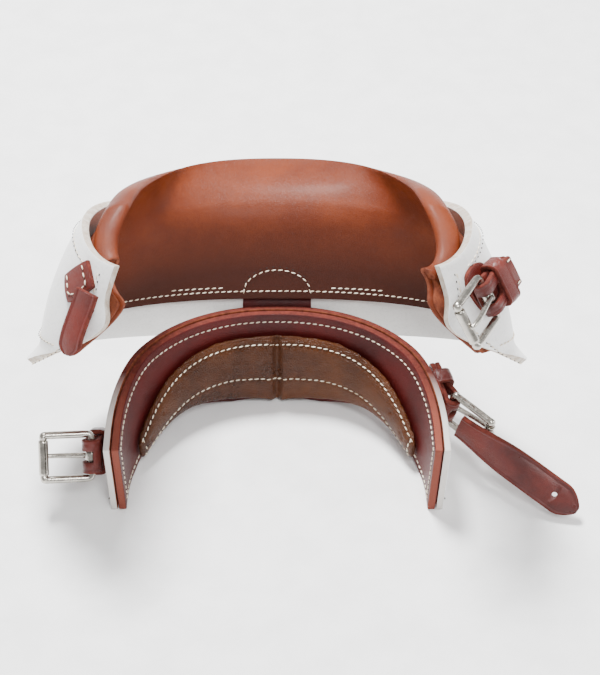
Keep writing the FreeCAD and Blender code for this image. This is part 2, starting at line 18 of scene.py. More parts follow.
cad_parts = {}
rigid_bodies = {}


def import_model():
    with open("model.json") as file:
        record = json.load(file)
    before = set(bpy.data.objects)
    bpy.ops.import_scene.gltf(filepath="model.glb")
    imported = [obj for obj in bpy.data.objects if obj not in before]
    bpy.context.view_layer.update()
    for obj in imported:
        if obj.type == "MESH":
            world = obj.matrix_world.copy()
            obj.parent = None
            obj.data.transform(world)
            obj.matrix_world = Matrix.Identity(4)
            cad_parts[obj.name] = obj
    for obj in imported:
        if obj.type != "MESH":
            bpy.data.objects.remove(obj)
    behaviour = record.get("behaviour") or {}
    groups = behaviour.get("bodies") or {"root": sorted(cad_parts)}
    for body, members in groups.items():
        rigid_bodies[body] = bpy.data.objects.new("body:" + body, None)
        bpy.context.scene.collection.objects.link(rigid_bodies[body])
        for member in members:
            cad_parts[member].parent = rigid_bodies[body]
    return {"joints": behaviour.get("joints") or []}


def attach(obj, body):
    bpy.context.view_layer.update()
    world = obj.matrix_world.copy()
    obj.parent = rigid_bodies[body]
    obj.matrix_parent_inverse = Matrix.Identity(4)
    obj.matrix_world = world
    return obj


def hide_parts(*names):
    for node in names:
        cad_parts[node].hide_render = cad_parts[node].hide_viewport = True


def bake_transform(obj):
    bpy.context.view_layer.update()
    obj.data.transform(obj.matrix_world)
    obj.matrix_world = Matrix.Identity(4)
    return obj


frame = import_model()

LOG = logging.getLogger("leg_boot")
MM = 0.001
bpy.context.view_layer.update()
Grid = list[list[Vector]]


class Slot(Enum):
    """Material slots of the record."""

    WHITE = "white_leather"
    TAN = "tan_leather"
    OXBLOOD = "oxblood_leather"
    BAND = "band_leather"
    PAD = "pad_leather"
    STRAP = "strap_leather"
    NICKEL = "nickel"
    FILLING = "filling"


# ---------------------------------------------------------------- small numeric helpers

def smooth(share: float) -> float:
    """A soft step from 0 to 1."""
    share = min(max(share, 0.0), 1.0)
    return share * share * (3 - 2 * share)


def through(x: float, knots: Sequence[tuple[float, float]]) -> float:
    """The parabola through three (x, y) pairs, read at x."""
    total = 0.0
    for i, (xi, yi) in enumerate(knots):
        term = yi
        for j, (xj, _) in enumerate(knots):
            if i != j:
                term *= (x - xj) / (xi - xj)
        total += term
    return total


def spread(count: int, low: float = -1.0, high: float = 1.0) -> list[float]:
    """Evenly spaced numbers from low to high."""
    return [low + (high - low) * index / (count - 1) for index in range(count)]


def joint(name: str) -> dict:
    """The frame's joint of that name."""
    return next(entry for entry in frame["joints"] if entry["name"] == name)


# ---------------------------------------------------------------- materials

class Shader:
    """A small wrapper that builds a node material."""

    def __init__(self, name: str) -> None:
        """Starts an empty Principled material."""
        self.material = bpy.data.materials.new(name)
        self.material.use_nodes = True
        self.tree = self.material.node_tree
        self.surface = self.tree.nodes["Principled BSDF"]
        self.place = self.tree.nodes.new("ShaderNodeTexCoord").outputs["Object"]

    def set(self, **values: float) -> None:
        """Sets plain numbers on the shader's sockets; underscores stand for spaces."""
        for key, value in values.items():
            self.surface.inputs[key.replace("_", " ")].default_value = value

    def link(self, source, target) -> None:
        """Joins two sockets."""
        self.tree.links.new(source, target)

    def stretched(self, scale: tuple[float, float, float]):
        """Object coordinates stretched by a factor along each axis."""
        node = self.tree.nodes.new("ShaderNodeMapping")
        node.inputs["Scale"].default_value = scale
        self.link(self.place, node.inputs["Vector"])
        return node.outputs["Vector"]

    def noise(self, scale: float, detail: float = 4.0, rough: float = 0.55, vector=None):
        """A noise pattern's value socket."""
        node = self.tree.nodes.new("ShaderNodeTexNoise")
        node.inputs["Scale"].default_value = scale
        node.inputs["Detail"].default_value = detail
        node.inputs["Roughness"].default_value = rough
        self.link(vector or self.place, node.inputs["Vector"])
        return node.outputs["Fac"]

    def cells(self, scale: float):
        """The distance to the edges of a cell pattern, as on grained leather."""
        node = self.tree.nodes.new("ShaderNodeTexVoronoi")
        node.feature = "DISTANCE_TO_EDGE"
        node.inputs["Scale"].default_value = scale
        warp = self.tree.nodes.new("ShaderNodeVectorMath")
        warp.operation = "ADD"
        wobble = self.tree.nodes.new("ShaderNodeTexNoise")
        wobble.inputs["Scale"].default_value = scale * 0.7
        shrink = self.tree.nodes.new("ShaderNodeVectorMath")
        shrink.operation = "SCALE"
        shrink.inputs["Scale"].default_value = 0.9 / scale
        self.link(self.place, wobble.inputs["Vector"])
        self.link(wobble.outputs["Color"], shrink.inputs[0])
        self.link(self.place, warp.inputs[0])
        self.link(shrink.outputs[0], warp.inputs[1])
        self.link(warp.outputs[0], node.inputs["Vector"])
        return node.outputs["Distance"]

    def ramp(self, value, stops: Sequence[tuple[float, Sequence[float]]]):
        """Colours along a value."""
        node = self.tree.nodes.new("ShaderNodeValToRGB")
        elements = node.color_ramp.elements
        while len(elements) < len(stops):
            elements.new(0.5)
        for element, (position, colour) in zip(elements, stops):
            element.position = position
            element.color = (*colour, 1.0)
        self.link(value, node.inputs["Fac"])
        return node.outputs["Color"]

    def remap(self, value, low: float, high: float, start: float = 0.3, end: float = 0.7):
        """The value stretched from start..end to low..high."""
        node = self.tree.nodes.new("ShaderNodeMapRange")
        node.inputs["From Min"].default_value = start
        node.inputs["From Max"].default_value = end
        node.inputs["To Min"].default_value = low
        node.inputs["To Max"].default_value = high
        self.link(value, node.inputs["Value"])
        return node.outputs["Result"]

    def mix(self, share, first, second):
        """Two colours mixed by a share socket."""
        node = self.tree.nodes.new("ShaderNodeMix")
        node.data_type = "RGBA"
        self.link(share, node.inputs[0])
        for value, index in ((first, 6), (second, 7)):
            if isinstance(value, tuple):
                node.inputs[index].default_value = (*value, 1.0)
            else:
                self.link(value, node.inputs[index])
        return node.outputs[2]

    def height(self, low: float, high: float, axis: str = "Z"):
        """0 below one place on an axis and 1 above another, in metres."""
        split = self.tree.nodes.new("ShaderNodeSeparateXYZ")
        self.link(self.place, split.inputs[0])
        return self.remap(split.outputs[axis], 0.0, 1.0, low, high)

    def bump(self, height, distance: float, strength: float = 1.0, under=None):
        """A bump from a height socket, on top of another bump's normal."""
        node = self.tree.nodes.new("ShaderNodeBump")
        node.inputs["Distance"].default_value = distance
        node.inputs["Strength"].default_value = strength
        self.link(height, node.inputs["Height"])
        if under is not None:
            self.link(under, node.inputs["Normal"])
        return node.outputs["Normal"]


@dataclass(frozen=True)
class Leather:
    """A dyed leather with grain, creases, mottled dye and worn spots; shade, when given, darkens it below a
    height: painted shade, together with a darker dye there.
    """

    name: str
    light: tuple[float, float, float]
    deep: tuple[float, float, float]
    rough: tuple[float, float] = (0.38, 0.55)
    grain: float = 1500.0
    grain_depth: float = 0.00012
    crease_depth: float = 0.0004
    coat: float = 0.15
    wear: float = 0.1
    shade: tuple[float, float] | None = None
    gloss: float = 0.22

    def build(self) -> bpy.types.Material:
        """The finished material."""
        shader = Shader(self.name)
        mottle = shader.noise(38, 5, 0.6)
        cloud = shader.ramp(mottle, [(0.36, self.deep), (0.62, self.light)])
        speck = shader.noise(900, 3, 0.7)
        dark = tuple(0.62 * c for c in self.deep)
        dyed = shader.mix(shader.remap(speck, 0.0, 0.35, 0.5, 0.75), cloud, dark)
        rub = shader.noise(150, 6, 0.72)
        pale = tuple(min(1.0, 1.45 * c + 0.012) for c in self.light)
        worn = shader.mix(shader.remap(rub, 0.0, self.wear, 0.56, 0.7), dyed, pale)
        # painted shade: below the shade heights the colour darkens towards 0.40 of the deep tone; from here
        # worn carries this painted shade as well as the wear
        if self.shade:
            worn = shader.mix(shader.height(*self.shade), tuple(0.40 * c for c in self.deep), worn)
        shader.link(worn, shader.surface.inputs["Base Color"])
        shader.link(shader.remap(mottle, *self.rough), shader.surface.inputs["Roughness"])
        pores = shader.bump(shader.remap(shader.cells(self.grain), 0.0, 1.0, 0.0, 0.25), self.grain_depth)
        creases = shader.noise(85, 7, 0.62, shader.stretched((1.0, 1.0, 2.2)))
        shader.link(shader.bump(creases, self.crease_depth, 0.9, pores), shader.surface.inputs["Normal"])
        shader.set(Coat_Weight=self.coat, Coat_Roughness=0.25, Specular_IOR_Level=self.gloss)
        return shader.material


@dataclass(frozen=True)
class RawEdge:
    """The cut edge of leather: layered fibres across the thickness."""

    name: str
    light: tuple[float, float, float]
    deep: tuple[float, float, float]
    front: tuple[float, float, float] | None = None
    change: tuple[float, float] = (-0.050, -0.030)

    def build(self) -> bpy.types.Material:
        """The finished material; its colour may change towards the front of the object."""
        shader = Shader(self.name)
        layers = shader.noise(420, 6, 0.7, shader.stretched((1.0, 1.0, 0.6)))
        fibres = shader.ramp(layers, [(0.35, self.deep), (0.65, self.light)])
        if self.front:
            fibres = shader.mix(shader.height(*self.change, "Y"), self.front, fibres)
        shader.link(fibres, shader.surface.inputs["Base Color"])
        fluff = shader.noise(2200, 4, 0.7)
        fuzz = shader.bump(fluff, 0.0003, 1.0, shader.bump(layers, 0.0005))
        shader.link(fuzz, shader.surface.inputs["Normal"])
        shader.set(Roughness=0.85, Specular_IOR_Level=0.25)
        return shader.material


@dataclass(frozen=True)
class Nickel:
    """Plated buckle metal with fine rubbing marks."""

    name: str = "nickel_plate"
    tint: tuple[float, float, float] = (0.50, 0.47, 0.42)

    def build(self) -> bpy.types.Material:
        """The finished material."""
        shader = Shader(self.name)
        smear = shader.noise(260, 5, 0.6)
        worn = tuple(0.72 * c for c in self.tint)
        shader.link(shader.ramp(smear, [(0.3, worn), (0.6, self.tint)]), shader.surface.inputs["Base Color"])
        shader.link(shader.remap(smear, 0.16, 0.34), shader.surface.inputs["Roughness"])
        marks = shader.noise(1400, 3, 0.6, shader.stretched((1.0, 0.25, 0.25)))
        shader.link(shader.bump(marks, 0.00006, 0.6), shader.surface.inputs["Normal"])
        shader.set(Metallic=1.0)
        return shader.material


@dataclass(frozen=True)
class Thread:
    """Waxed linen thread with a twist."""

    name: str = "waxed_thread"
    light: tuple[float, float, float] = (0.82, 0.74, 0.60)
    deep: tuple[float, float, float] = (0.50, 0.38, 0.25)

    def build(self) -> bpy.types.Material:
        """The finished material."""
        shader = Shader(self.name)
        dirt = shader.noise(500, 4, 0.65)
        waxed = shader.ramp(dirt, [(0.32, self.deep), (0.55, self.light)])
        shader.link(waxed, shader.surface.inputs["Base Color"])
        twist = shader.noise(3200, 2, 0.5, shader.stretched((1.0, 0.6, 1.0)))
        shader.link(shader.bump(twist, 0.00015), shader.surface.inputs["Normal"])
        shader.set(Roughness=0.75)
        return shader.material


@dataclass(frozen=True)
class Plain:
    """A plain matt finish with a faint mottle."""

    name: str
    colour: tuple[float, float, float]
    rough: float = 0.8

    def build(self) -> bpy.types.Material:
        """The finished material."""
        shader = Shader(self.name)
        tone = shader.noise(60, 3)
        shade = tuple(0.93 * c for c in self.colour)
        mottled = shader.ramp(tone, [(0.35, shade), (0.65, self.colour)])
        shader.link(mottled, shader.surface.inputs["Base Color"])
        shader.set(Roughness=self.rough)
        return shader.material


class Finishes:
    """Every material of the object, built once."""

    dark_fibres = (0.15, 0.026, 0.016), (0.07, 0.012, 0.008)

    def __init__(self) -> None:
        """Builds the set."""
        self.white = Leather("white_leather", (0.90, 0.895, 0.885), (0.84, 0.83, 0.81), (0.28, 0.42), 2200,
                             0.00004, 0.00022, 0.25, 0.0).build()
        # the tan lining's last pair (0.054, 0.079) is painted shade on the lower inner wall, together with a
        # darker dye: darker below 0.054 m, fading out by 0.079 m
        self.tan = Leather("tan_leather", (0.160, 0.028, 0.005), (0.110, 0.017, 0.003), (0.40, 0.55), 2400,
                           0.00005, 0.00025, 0.03, 0.04, (0.054, 0.079)).build()
        self.oxblood = Leather("oxblood_leather", (0.085, 0.0055, 0.0045), (0.045, 0.0035, 0.003),
                               (0.36, 0.52), 1900, 0.00007, 0.0004, 0.04, 0.08).build()
        self.pad = Leather("pad_leather", (0.080, 0.022, 0.0035), (0.036, 0.009, 0.0018), (0.24, 0.38),
                           1300, 0.00014, 0.0007, 0.0, 0.06, None, 0.24).build()
        self.strap = Leather("strap_leather", (0.135, 0.0165, 0.0105), (0.065, 0.008, 0.006), (0.26, 0.42),
                             2100, 0.00006, 0.0004, 0.10, 0.14, None, 0.34).build()
        self.raw = RawEdge("raw_edge", (0.24, 0.062, 0.026), (0.11, 0.024, 0.011)).build()
        self.raw_dark = RawEdge("raw_edge_dark", *self.dark_fibres).build()
        self.nickel = Nickel().build()
        self.thread = Thread().build()
        self.white_edge = RawEdge("white_edge", (0.66, 0.62, 0.56), (0.44, 0.34, 0.26)).build()
        self.band_edge = RawEdge("band_edge", *self.dark_fibres, (0.68, 0.64, 0.60)).build()
        self.lining_edge = RawEdge("band_lining_edge", *self.dark_fibres, (0.20, 0.050, 0.032)).build()
        # near-black dots in the needle holes: painted shade
        self.hole = Plain("needle_hole_shade", (0.02, 0.01, 0.008), 0.9).build()
        self.cord = Plain("rim_cord", (0.30, 0.20, 0.12), 0.9).build()
        self.floor = Plain("floor", (0.98, 0.98, 0.98), 0.9).build()


# ---------------------------------------------------------------- meshes

def new_object(name: str, verts: Sequence[Vector], faces: Sequence[Sequence[int]],
               materials: Sequence[bpy.types.Material],
               edges: Sequence[Sequence[int]] = ()) -> bpy.types.Object:
    """Makes a smooth-shaded mesh object at the origin.

    Args:
        name: the piece's name.
        verts: points in metres.
        faces: corner numbers of each face.
        materials: the piece's material slots.
        edges: loose edges, for a mesh with no faces.
    Returns:
        the linked object.
    """
    mesh = bpy.data.meshes.new(name)
    mesh.from_pydata([tuple(v) for v in verts], list(edges), list(faces))
    for material in materials:
        mesh.materials.append(material)
    mesh.shade_smooth()
    made = bpy.data.objects.new(name, mesh)
    bpy.context.scene.collection.objects.link(made)
    return made


def apply_modifiers(piece: bpy.types.Object) -> bpy.types.Object:
    """Bakes the piece's modifiers into its mesh."""
    bpy.context.view_layer.update()
    evaluated = piece.evaluated_get(bpy.context.evaluated_depsgraph_get())
    mesh = bpy.data.meshes.new_from_object(evaluated)
    piece.modifiers.clear()
    piece.data = mesh
    return piece


def recalculate(piece: bpy.types.Object) -> None:
    """Turns every face of a closed piece outwards."""
    work = bmesh.new()
    work.from_mesh(piece.data)
    bmesh.ops.remove_doubles(work, verts=work.verts, dist=1e-6)
    bmesh.ops.recalc_face_normals(work, faces=work.faces)
    work.to_mesh(piece.data)
    work.free()


def grid_faces(rows: int, columns: int, closed: bool = False) -> list[tuple[int, int, int, int]]:
    """Quads of a grid whose points are numbered row by row; closed joins the last column to the first."""
    faces = []
    wide = columns if closed else columns - 1
    for row in range(rows - 1):
        for column in range(wide):
            after = (column + 1) % columns
            faces.append((row * columns + column, row * columns + after,
                          (row + 1) * columns + after, (row + 1) * columns + column))
    return faces


def leather_sheet(name: str, grid: Grid, thickness: float, materials: Sequence[bpy.types.Material],
                  edge_round: float = 0.5) -> bpy.types.Object:
    """A sheet of leather with rounded, raw edges.

    Args:
        name: the piece's name.
        grid: points of the middle of the sheet, in metres.
        thickness: in millimetres.
        materials: face, back and cut edge.
        edge_round: radius of the edges, in millimetres.
    Returns:
        the finished closed piece.
    """
    verts = [point for row in grid for point in row]
    piece = new_object(name, verts, grid_faces(len(grid), len(grid[0])), materials)
    solid = piece.modifiers.new("thickness", "SOLIDIFY")
    solid.thickness = thickness * MM
    solid.offset = 0.0
    solid.use_even_offset = True
    solid.material_offset = 1
    solid.material_offset_rim = 2
    bevel = piece.modifiers.new("edges", "BEVEL")
    bevel.width = edge_round * MM
    bevel.segments = 3
    bevel.limit_method = "ANGLE"
    bevel.angle_limit = math.radians(50)
    apply_modifiers(piece)
    recalculate(piece)
    return piece


@dataclass
class Station:
    """One cross-section of a ribbon: centre, width direction, outward direction, half width in mm."""

    centre: Vector
    across: Vector
    outward: Vector
    half: float


def ribbon(name: str, stations: Sequence[Station], thickness: float, materials: Sequence[bpy.types.Material],
           closed: bool = False, crease: float = 1.5, groove: float = 0.22) -> bpy.types.Object:
    """A leather strap swept along stations, with rounded edges and tooled lines along both edges.

    Args:
        name: the piece's name.
        stations: cross-sections in order; centres in metres.
        thickness: in millimetres.
        materials: face leather and cut edge.
        closed: the last station joins the first.
        crease: distance of the tooled line from the edge, in millimetres.
        groove: depth of the tooled line, in millimetres.
    Returns:
        the closed piece.
    """
    t, r = thickness / 2, 0.42 * thickness / 2
    top = [(-1, r, t), (-1, crease - 0.35, t), (-1, crease, t - groove), (-1, crease + 0.35, t),
           (0, 0, t + 0.12), (1, -crease - 0.35, t), (1, -crease, t - groove), (1, -crease + 0.35, t),
           (1, -r, t)]
    right = [(1, -0.3 * r, t - 0.3 * r), (1, 0.05, t - r), (1, 0.12, 0), (1, 0.05, r - t),
             (1, -0.3 * r, 0.3 * r - t)]
    bottom = [(1, -r, -t), (0.4, 0, -t), (-0.4, 0, -t), (-1, r, -t)]
    left = [(-kx, -ox, y) for kx, ox, y in reversed(right)]
    profile = top + right + bottom + left
    count = len(profile)
    edge_from, edge_to = len(top) - 1, len(top) + len(right)
    left_from = len(top) + len(right) + len(bottom) - 1
    verts: list[Vector] = []
    for station in stations:
        squeeze = min(1.0, station.half / 3.2)
        for kx, ox, y in profile:
            x = kx * station.half + ox * squeeze
            verts.append(station.centre + station.across * (x * MM) + station.outward * (y * MM))
    rows = len(stations)
    if closed:
        verts += verts[:count]
        rows += 1
    faces: list[Sequence[int]] = list(grid_faces(rows, count, closed=True))
    if not closed:
        faces.append(list(range(count)))
        faces.append(list(range((rows - 1) * count, rows * count)))
    piece = new_object(name, verts, faces, materials)
    for index, polygon in enumerate(piece.data.polygons):
        column = index % count
        side = edge_from <= column < edge_to or column >= left_from
        cap = not closed and index >= (rows - 1) * count
        polygon.material_index = 1 if side or cap else 0
    recalculate(piece)
    return piece


def tube(name: str, centres: Sequence[Vector], radii: Sequence[float], material: bpy.types.Material,
         closed: bool = False, sides: int = 20) -> bpy.types.Object:
    """A round bar along a path.

    Args:
        name: the piece's name.
        centres: path points in metres.
        radii: radius at each point, in millimetres.
        material: its finish.
        closed: the path is a loop.
        sides: facets round the bar.
    Returns:
        the closed piece.
    """
    count = len(centres)
    verts: list[Vector] = []
    normal = None
    for index, centre in enumerate(centres):
        after = centres[(index + 1) % count] if closed or index < count - 1 else centre
        before = centres[index - 1] if closed or index else centre
        along = (after - before).normalized()
        if normal is None:
            normal = along.orthogonal().normalized()
        normal = (normal - along * normal.dot(along)).normalized()
        side = along.cross(normal)
        for step in range(sides):
            turn = 2 * math.pi * step / sides
            verts.append(centre + (normal * math.cos(turn) + side * math.sin(turn)) * (radii[index] * MM))
    rows = count
    if closed:
        verts += verts[:sides]
        rows += 1
    faces: list[Sequence[int]] = list(grid_faces(rows, sides, closed=True))
    if not closed:
        faces += [list(range(sides)), list(range((rows - 1) * sides, rows * sides))]
    piece = new_object(name, verts, faces, [material])
    recalculate(piece)
    return piece


def join(name: str, pieces: Sequence[bpy.types.Object]) -> bpy.types.Object:
    """Joins pieces into the first one, keeping each face's material."""
    target = pieces[0]
    with bpy.context.temp_override(active_object=target, selected_editable_objects=list(pieces)):
        bpy.ops.object.join()
    target.name = name
    target.data.name = name
    return target


def carve(piece: bpy.types.Object, cutters: Sequence[bpy.types.Object]) -> None:
    """Cuts closed shapes out of a piece and removes them."""
    for cutter in cutters:
        step = piece.modifiers.new("cut", "BOOLEAN")
        step.operation = "DIFFERENCE"
        step.solver = "EXACT"
        step.object = cutter
    apply_modifiers(piece)
    for cutter in cutters:
        bpy.data.objects.remove(cutter)


def finish_piece(piece: bpy.types.Object, body: str, slot: Slot,
                 nodes: Iterable[str] = ()) -> bpy.types.Object:
    """Ties a piece to its CAD body, hides the CAD nodes it stands for, and logs it."""
    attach(piece, body)
    if nodes:
        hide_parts(*nodes)
    LOG.info("%s on %s: %d faces", piece.name, body, len(piece.data.polygons))
    return piece


# ---------------------------------------------------------------- stitches

@dataclass
class StitchRun:
    """A sewn line: points just above the leather and the direction away from it at each."""

    points: list[Vector]
    ups: list[Vector]


class StitchTree:
    """The node tree that lays stitches, or the dark dots that paint the shade of needle holes, along sewn
    lines.
    """

    NODES = (("source", "NodeGroupInput"), ("result", "NodeGroupOutput"),
             ("curve", "GeometryNodeMeshToCurve"), ("steps", "GeometryNodeResampleCurve"),
             ("ball", "GeometryNodeMeshUVSphere"),
             ("shape", "ShaderNodeCombineXYZ"), ("half", "ShaderNodeMath"),
             ("place", "GeometryNodeInstanceOnPoints"), ("tangent", "GeometryNodeInputTangent"),
             ("up", "GeometryNodeInputNamedAttribute"), ("lay", "FunctionNodeAlignRotationToVector"),
             ("stand", "FunctionNodeAlignRotationToVector"), ("chance", "FunctionNodeRandomValue"),
             ("lower", "ShaderNodeMath"), ("turn", "FunctionNodeAxisAngleToRotation"),
             ("slant", "FunctionNodeRotateRotation"), ("realize", "GeometryNodeRealizeInstances"),
             ("dress", "GeometryNodeSetMaterial"))
    SETTINGS = (("steps", {"mode": "LENGTH"}), ("half", {"operation": "MULTIPLY"}),
                ("up", {"data_type": "FLOAT_VECTOR"}), ("lay", {"axis": "X"}),
                ("stand", {"axis": "Z", "pivot_axis": "X"}), ("chance", {"data_type": "FLOAT"}),
                ("lower", {"operation": "MULTIPLY"}), ("slant", {"rotation_space": "LOCAL"}))
    LINKS = (("source", "Geometry", "curve", "Mesh"), ("curve", "Curve", "steps", "Curve"),
             ("source", "Pitch", "steps", "Length"), ("steps", "Curve", "place", "Points"),
             ("ball", "Mesh", "place", "Instance"), ("source", "Stitch Length", "half", 0),
             ("half", 0, "shape", "X"), ("source", "Thread Radius", "shape", "Y"),
             ("source", "Thread Radius", "shape", "Z"), ("shape", "Vector", "place", "Scale"),
             ("tangent", "Tangent", "lay", "Vector"), ("lay", "Rotation", "stand", "Rotation"),
             ("up", "Attribute", "stand", "Vector"), ("source", "Tilt", "lower", 0),
             ("lower", 0, "chance", 2),
             ("source", "Tilt", "chance", 3), ("source", "Seed", "chance", "Seed"),
             ("chance", 1, "turn", "Angle"), ("stand", "Rotation", "slant", "Rotation"),
             ("turn", "Rotation", "slant", "Rotate By"), ("slant", "Rotation", "place", "Rotation"),
             ("place", "Instances", "realize", "Geometry"), ("realize", "Geometry", "dress", "Geometry"),
             ("dress", "Geometry", "result", "Geometry"))

    def __init__(self, name: str, material: bpy.types.Material) -> None:
        """Builds the tree with named inputs for pitch, length, thickness and seed."""
        self.group = bpy.data.node_groups.new(name, "GeometryNodeTree")
        face = self.group.interface
        face.new_socket("Geometry", in_out="INPUT", socket_type="NodeSocketGeometry")
        self.inputs = {}
        sizes = "Pitch", "Stitch Length", "Thread Radius", "Tilt"
        for label, kind in [(size, "NodeSocketFloat") for size in sizes] + [("Seed", "NodeSocketInt")]:
            self.inputs[label] = face.new_socket(label, in_out="INPUT", socket_type=kind).identifier
        face.new_socket("Geometry", in_out="OUTPUT", socket_type="NodeSocketGeometry")
        made = {label: self.group.nodes.new(kind) for label, kind in self.NODES}
        for label, settings in self.SETTINGS:
            for key, value in settings.items():
                setattr(made[label], key, value)
        values = (("ball", "Segments", 8), ("ball", "Rings", 6), ("ball", "Radius", 1.0), ("half", 1, 0.5),
                  ("lower", 1, 0.35), ("up", "Name", "up"), ("turn", "Axis", (0, 0, 1)),
                  ("dress", "Material", material))
        for label, socket, value in values:
            made[label].inputs[socket].default_value = value
        for source, output, target, socket in self.LINKS:
            self.group.links.new(made[source].outputs[output], made[target].inputs[socket])

    def lay(self, name: str, runs: Sequence[StitchRun], pitch: float, length: float, radius: float,
            tilt: float, seed: int) -> bpy.types.Object:
        """Lays one body's stitches and bakes them.

        Args:
            name: the piece's name.
            runs: the sewn lines.
            pitch: distance between stitches, in millimetres.
            length: length of a stitch, in millimetres.
            radius: half the thread's thickness, in millimetres.
            tilt: largest turn of a stitch against the line, in radians.
            seed: fixes the random tilts.
        Returns:
            the baked mesh object.
        """
        verts: list[Vector] = []
        edges: list[tuple[int, int]] = []
        ups: list[Vector] = []
        for run in runs:
            first = len(verts)
            verts += run.points
            ups += run.ups
            edges += [(first + i, first + i + 1) for i in range(len(run.points) - 1)]
        piece = new_object(name, verts, [], [], edges)
        attribute = piece.data.attributes.new("up", "FLOAT_VECTOR", "POINT")
        attribute.data.foreach_set("vector", [c for up in ups for c in up])
        step = piece.modifiers.new("stitches", "NODES")
        step.node_group = self.group
        values = {"Pitch": pitch * MM, "Stitch Length": length * MM, "Thread Radius": radius * MM,
                  "Tilt": tilt, "Seed": seed}
        for label, value in values.items():
            step[self.inputs[label]] = value
        apply_modifiers(piece)
        piece.data.shade_smooth()
        return piece


class Sewing:
    """Collects sewn lines for each body and lays thread along them, with dark dots between the stitches that
    paint the shade of the needle holes.
    """

    def __init__(self, finishes: Finishes) -> None:
        """Prepares the two node trees."""
        self.thread = StitchTree("thread_along_line", finishes.thread)
        self.holes = StitchTree("hole_shade_along_line", finishes.hole)
        self.runs: dict[str, list[StitchRun]] = {}

    def add(self, body: str, points: Sequence[Vector], ups: Sequence[Vector], lift: float = 0.12) -> None:
        """Adds a line to a body, raised by lift millimetres."""
        raised = [point + up * (lift * MM) for point, up in zip(points, ups)]
        self.runs.setdefault(body, []).append(StitchRun(raised, list(ups)))

    def lay(self, pitch: float = 2.5, length: float = 1.95, radius: float = 0.27) -> None:
        """Makes one thread piece and one piece of needle-hole dots, which paint the holes' shade, for each
        body.
        """
        for number, (body, runs) in enumerate(sorted(self.runs.items())):
            thread = self.thread.lay("thread_" + body, runs, pitch, length, radius, 0.22, 11 + number)
            finish_piece(thread, body, body_slot(body))
            # dark dots half a stitch along, sunk to about the leather's face: painted shade of the needle
            # holes
            sunk = []
            for run in runs:
                along = (run.points[1] - run.points[0]).normalized() * (pitch * 0.5 * MM)
                points = [p + along - up * (0.16 * MM) for p, up in zip(run.points, run.ups)]
                sunk.append(StitchRun(points, run.ups))
            holes = self.holes.lay("needle_hole_shade_" + body, sunk, pitch, 0.95, 0.22, 0.0, 5)
            finish_piece(holes, body, body_slot(body))


def body_slot(body: str) -> Slot:
    """The slot that goes with a body's thread."""
    return Slot.TAN if body == "cup" else Slot.OXBLOOD if body == "band" else Slot.STRAP


# ---------------------------------------------------------------- forms

HINGE = Vector(joint("cup_hinge")["pos_m"])


def oval(angle: float, half_width: float, back: float, depth: float, front_depth: float, squareness: float,
         z: float) -> Vector:
    """A point of the cup's plan curve; 0 degrees is the middle of the back, 90 the widest place."""
    sign = 1 if angle >= 0 else -1
    turn = math.radians(abs(angle))
    if abs(angle) <= 90:
        across = half_width * math.sin(turn) ** (2 / squareness)
        inward = max(math.cos(turn), 0.0) ** (2 / squareness)
        return Vector((sign * across, back - (depth + back) * (1 - inward), z))
    return Vector((sign * half_width * math.sin(turn), -depth + front_depth * math.cos(turn), z))


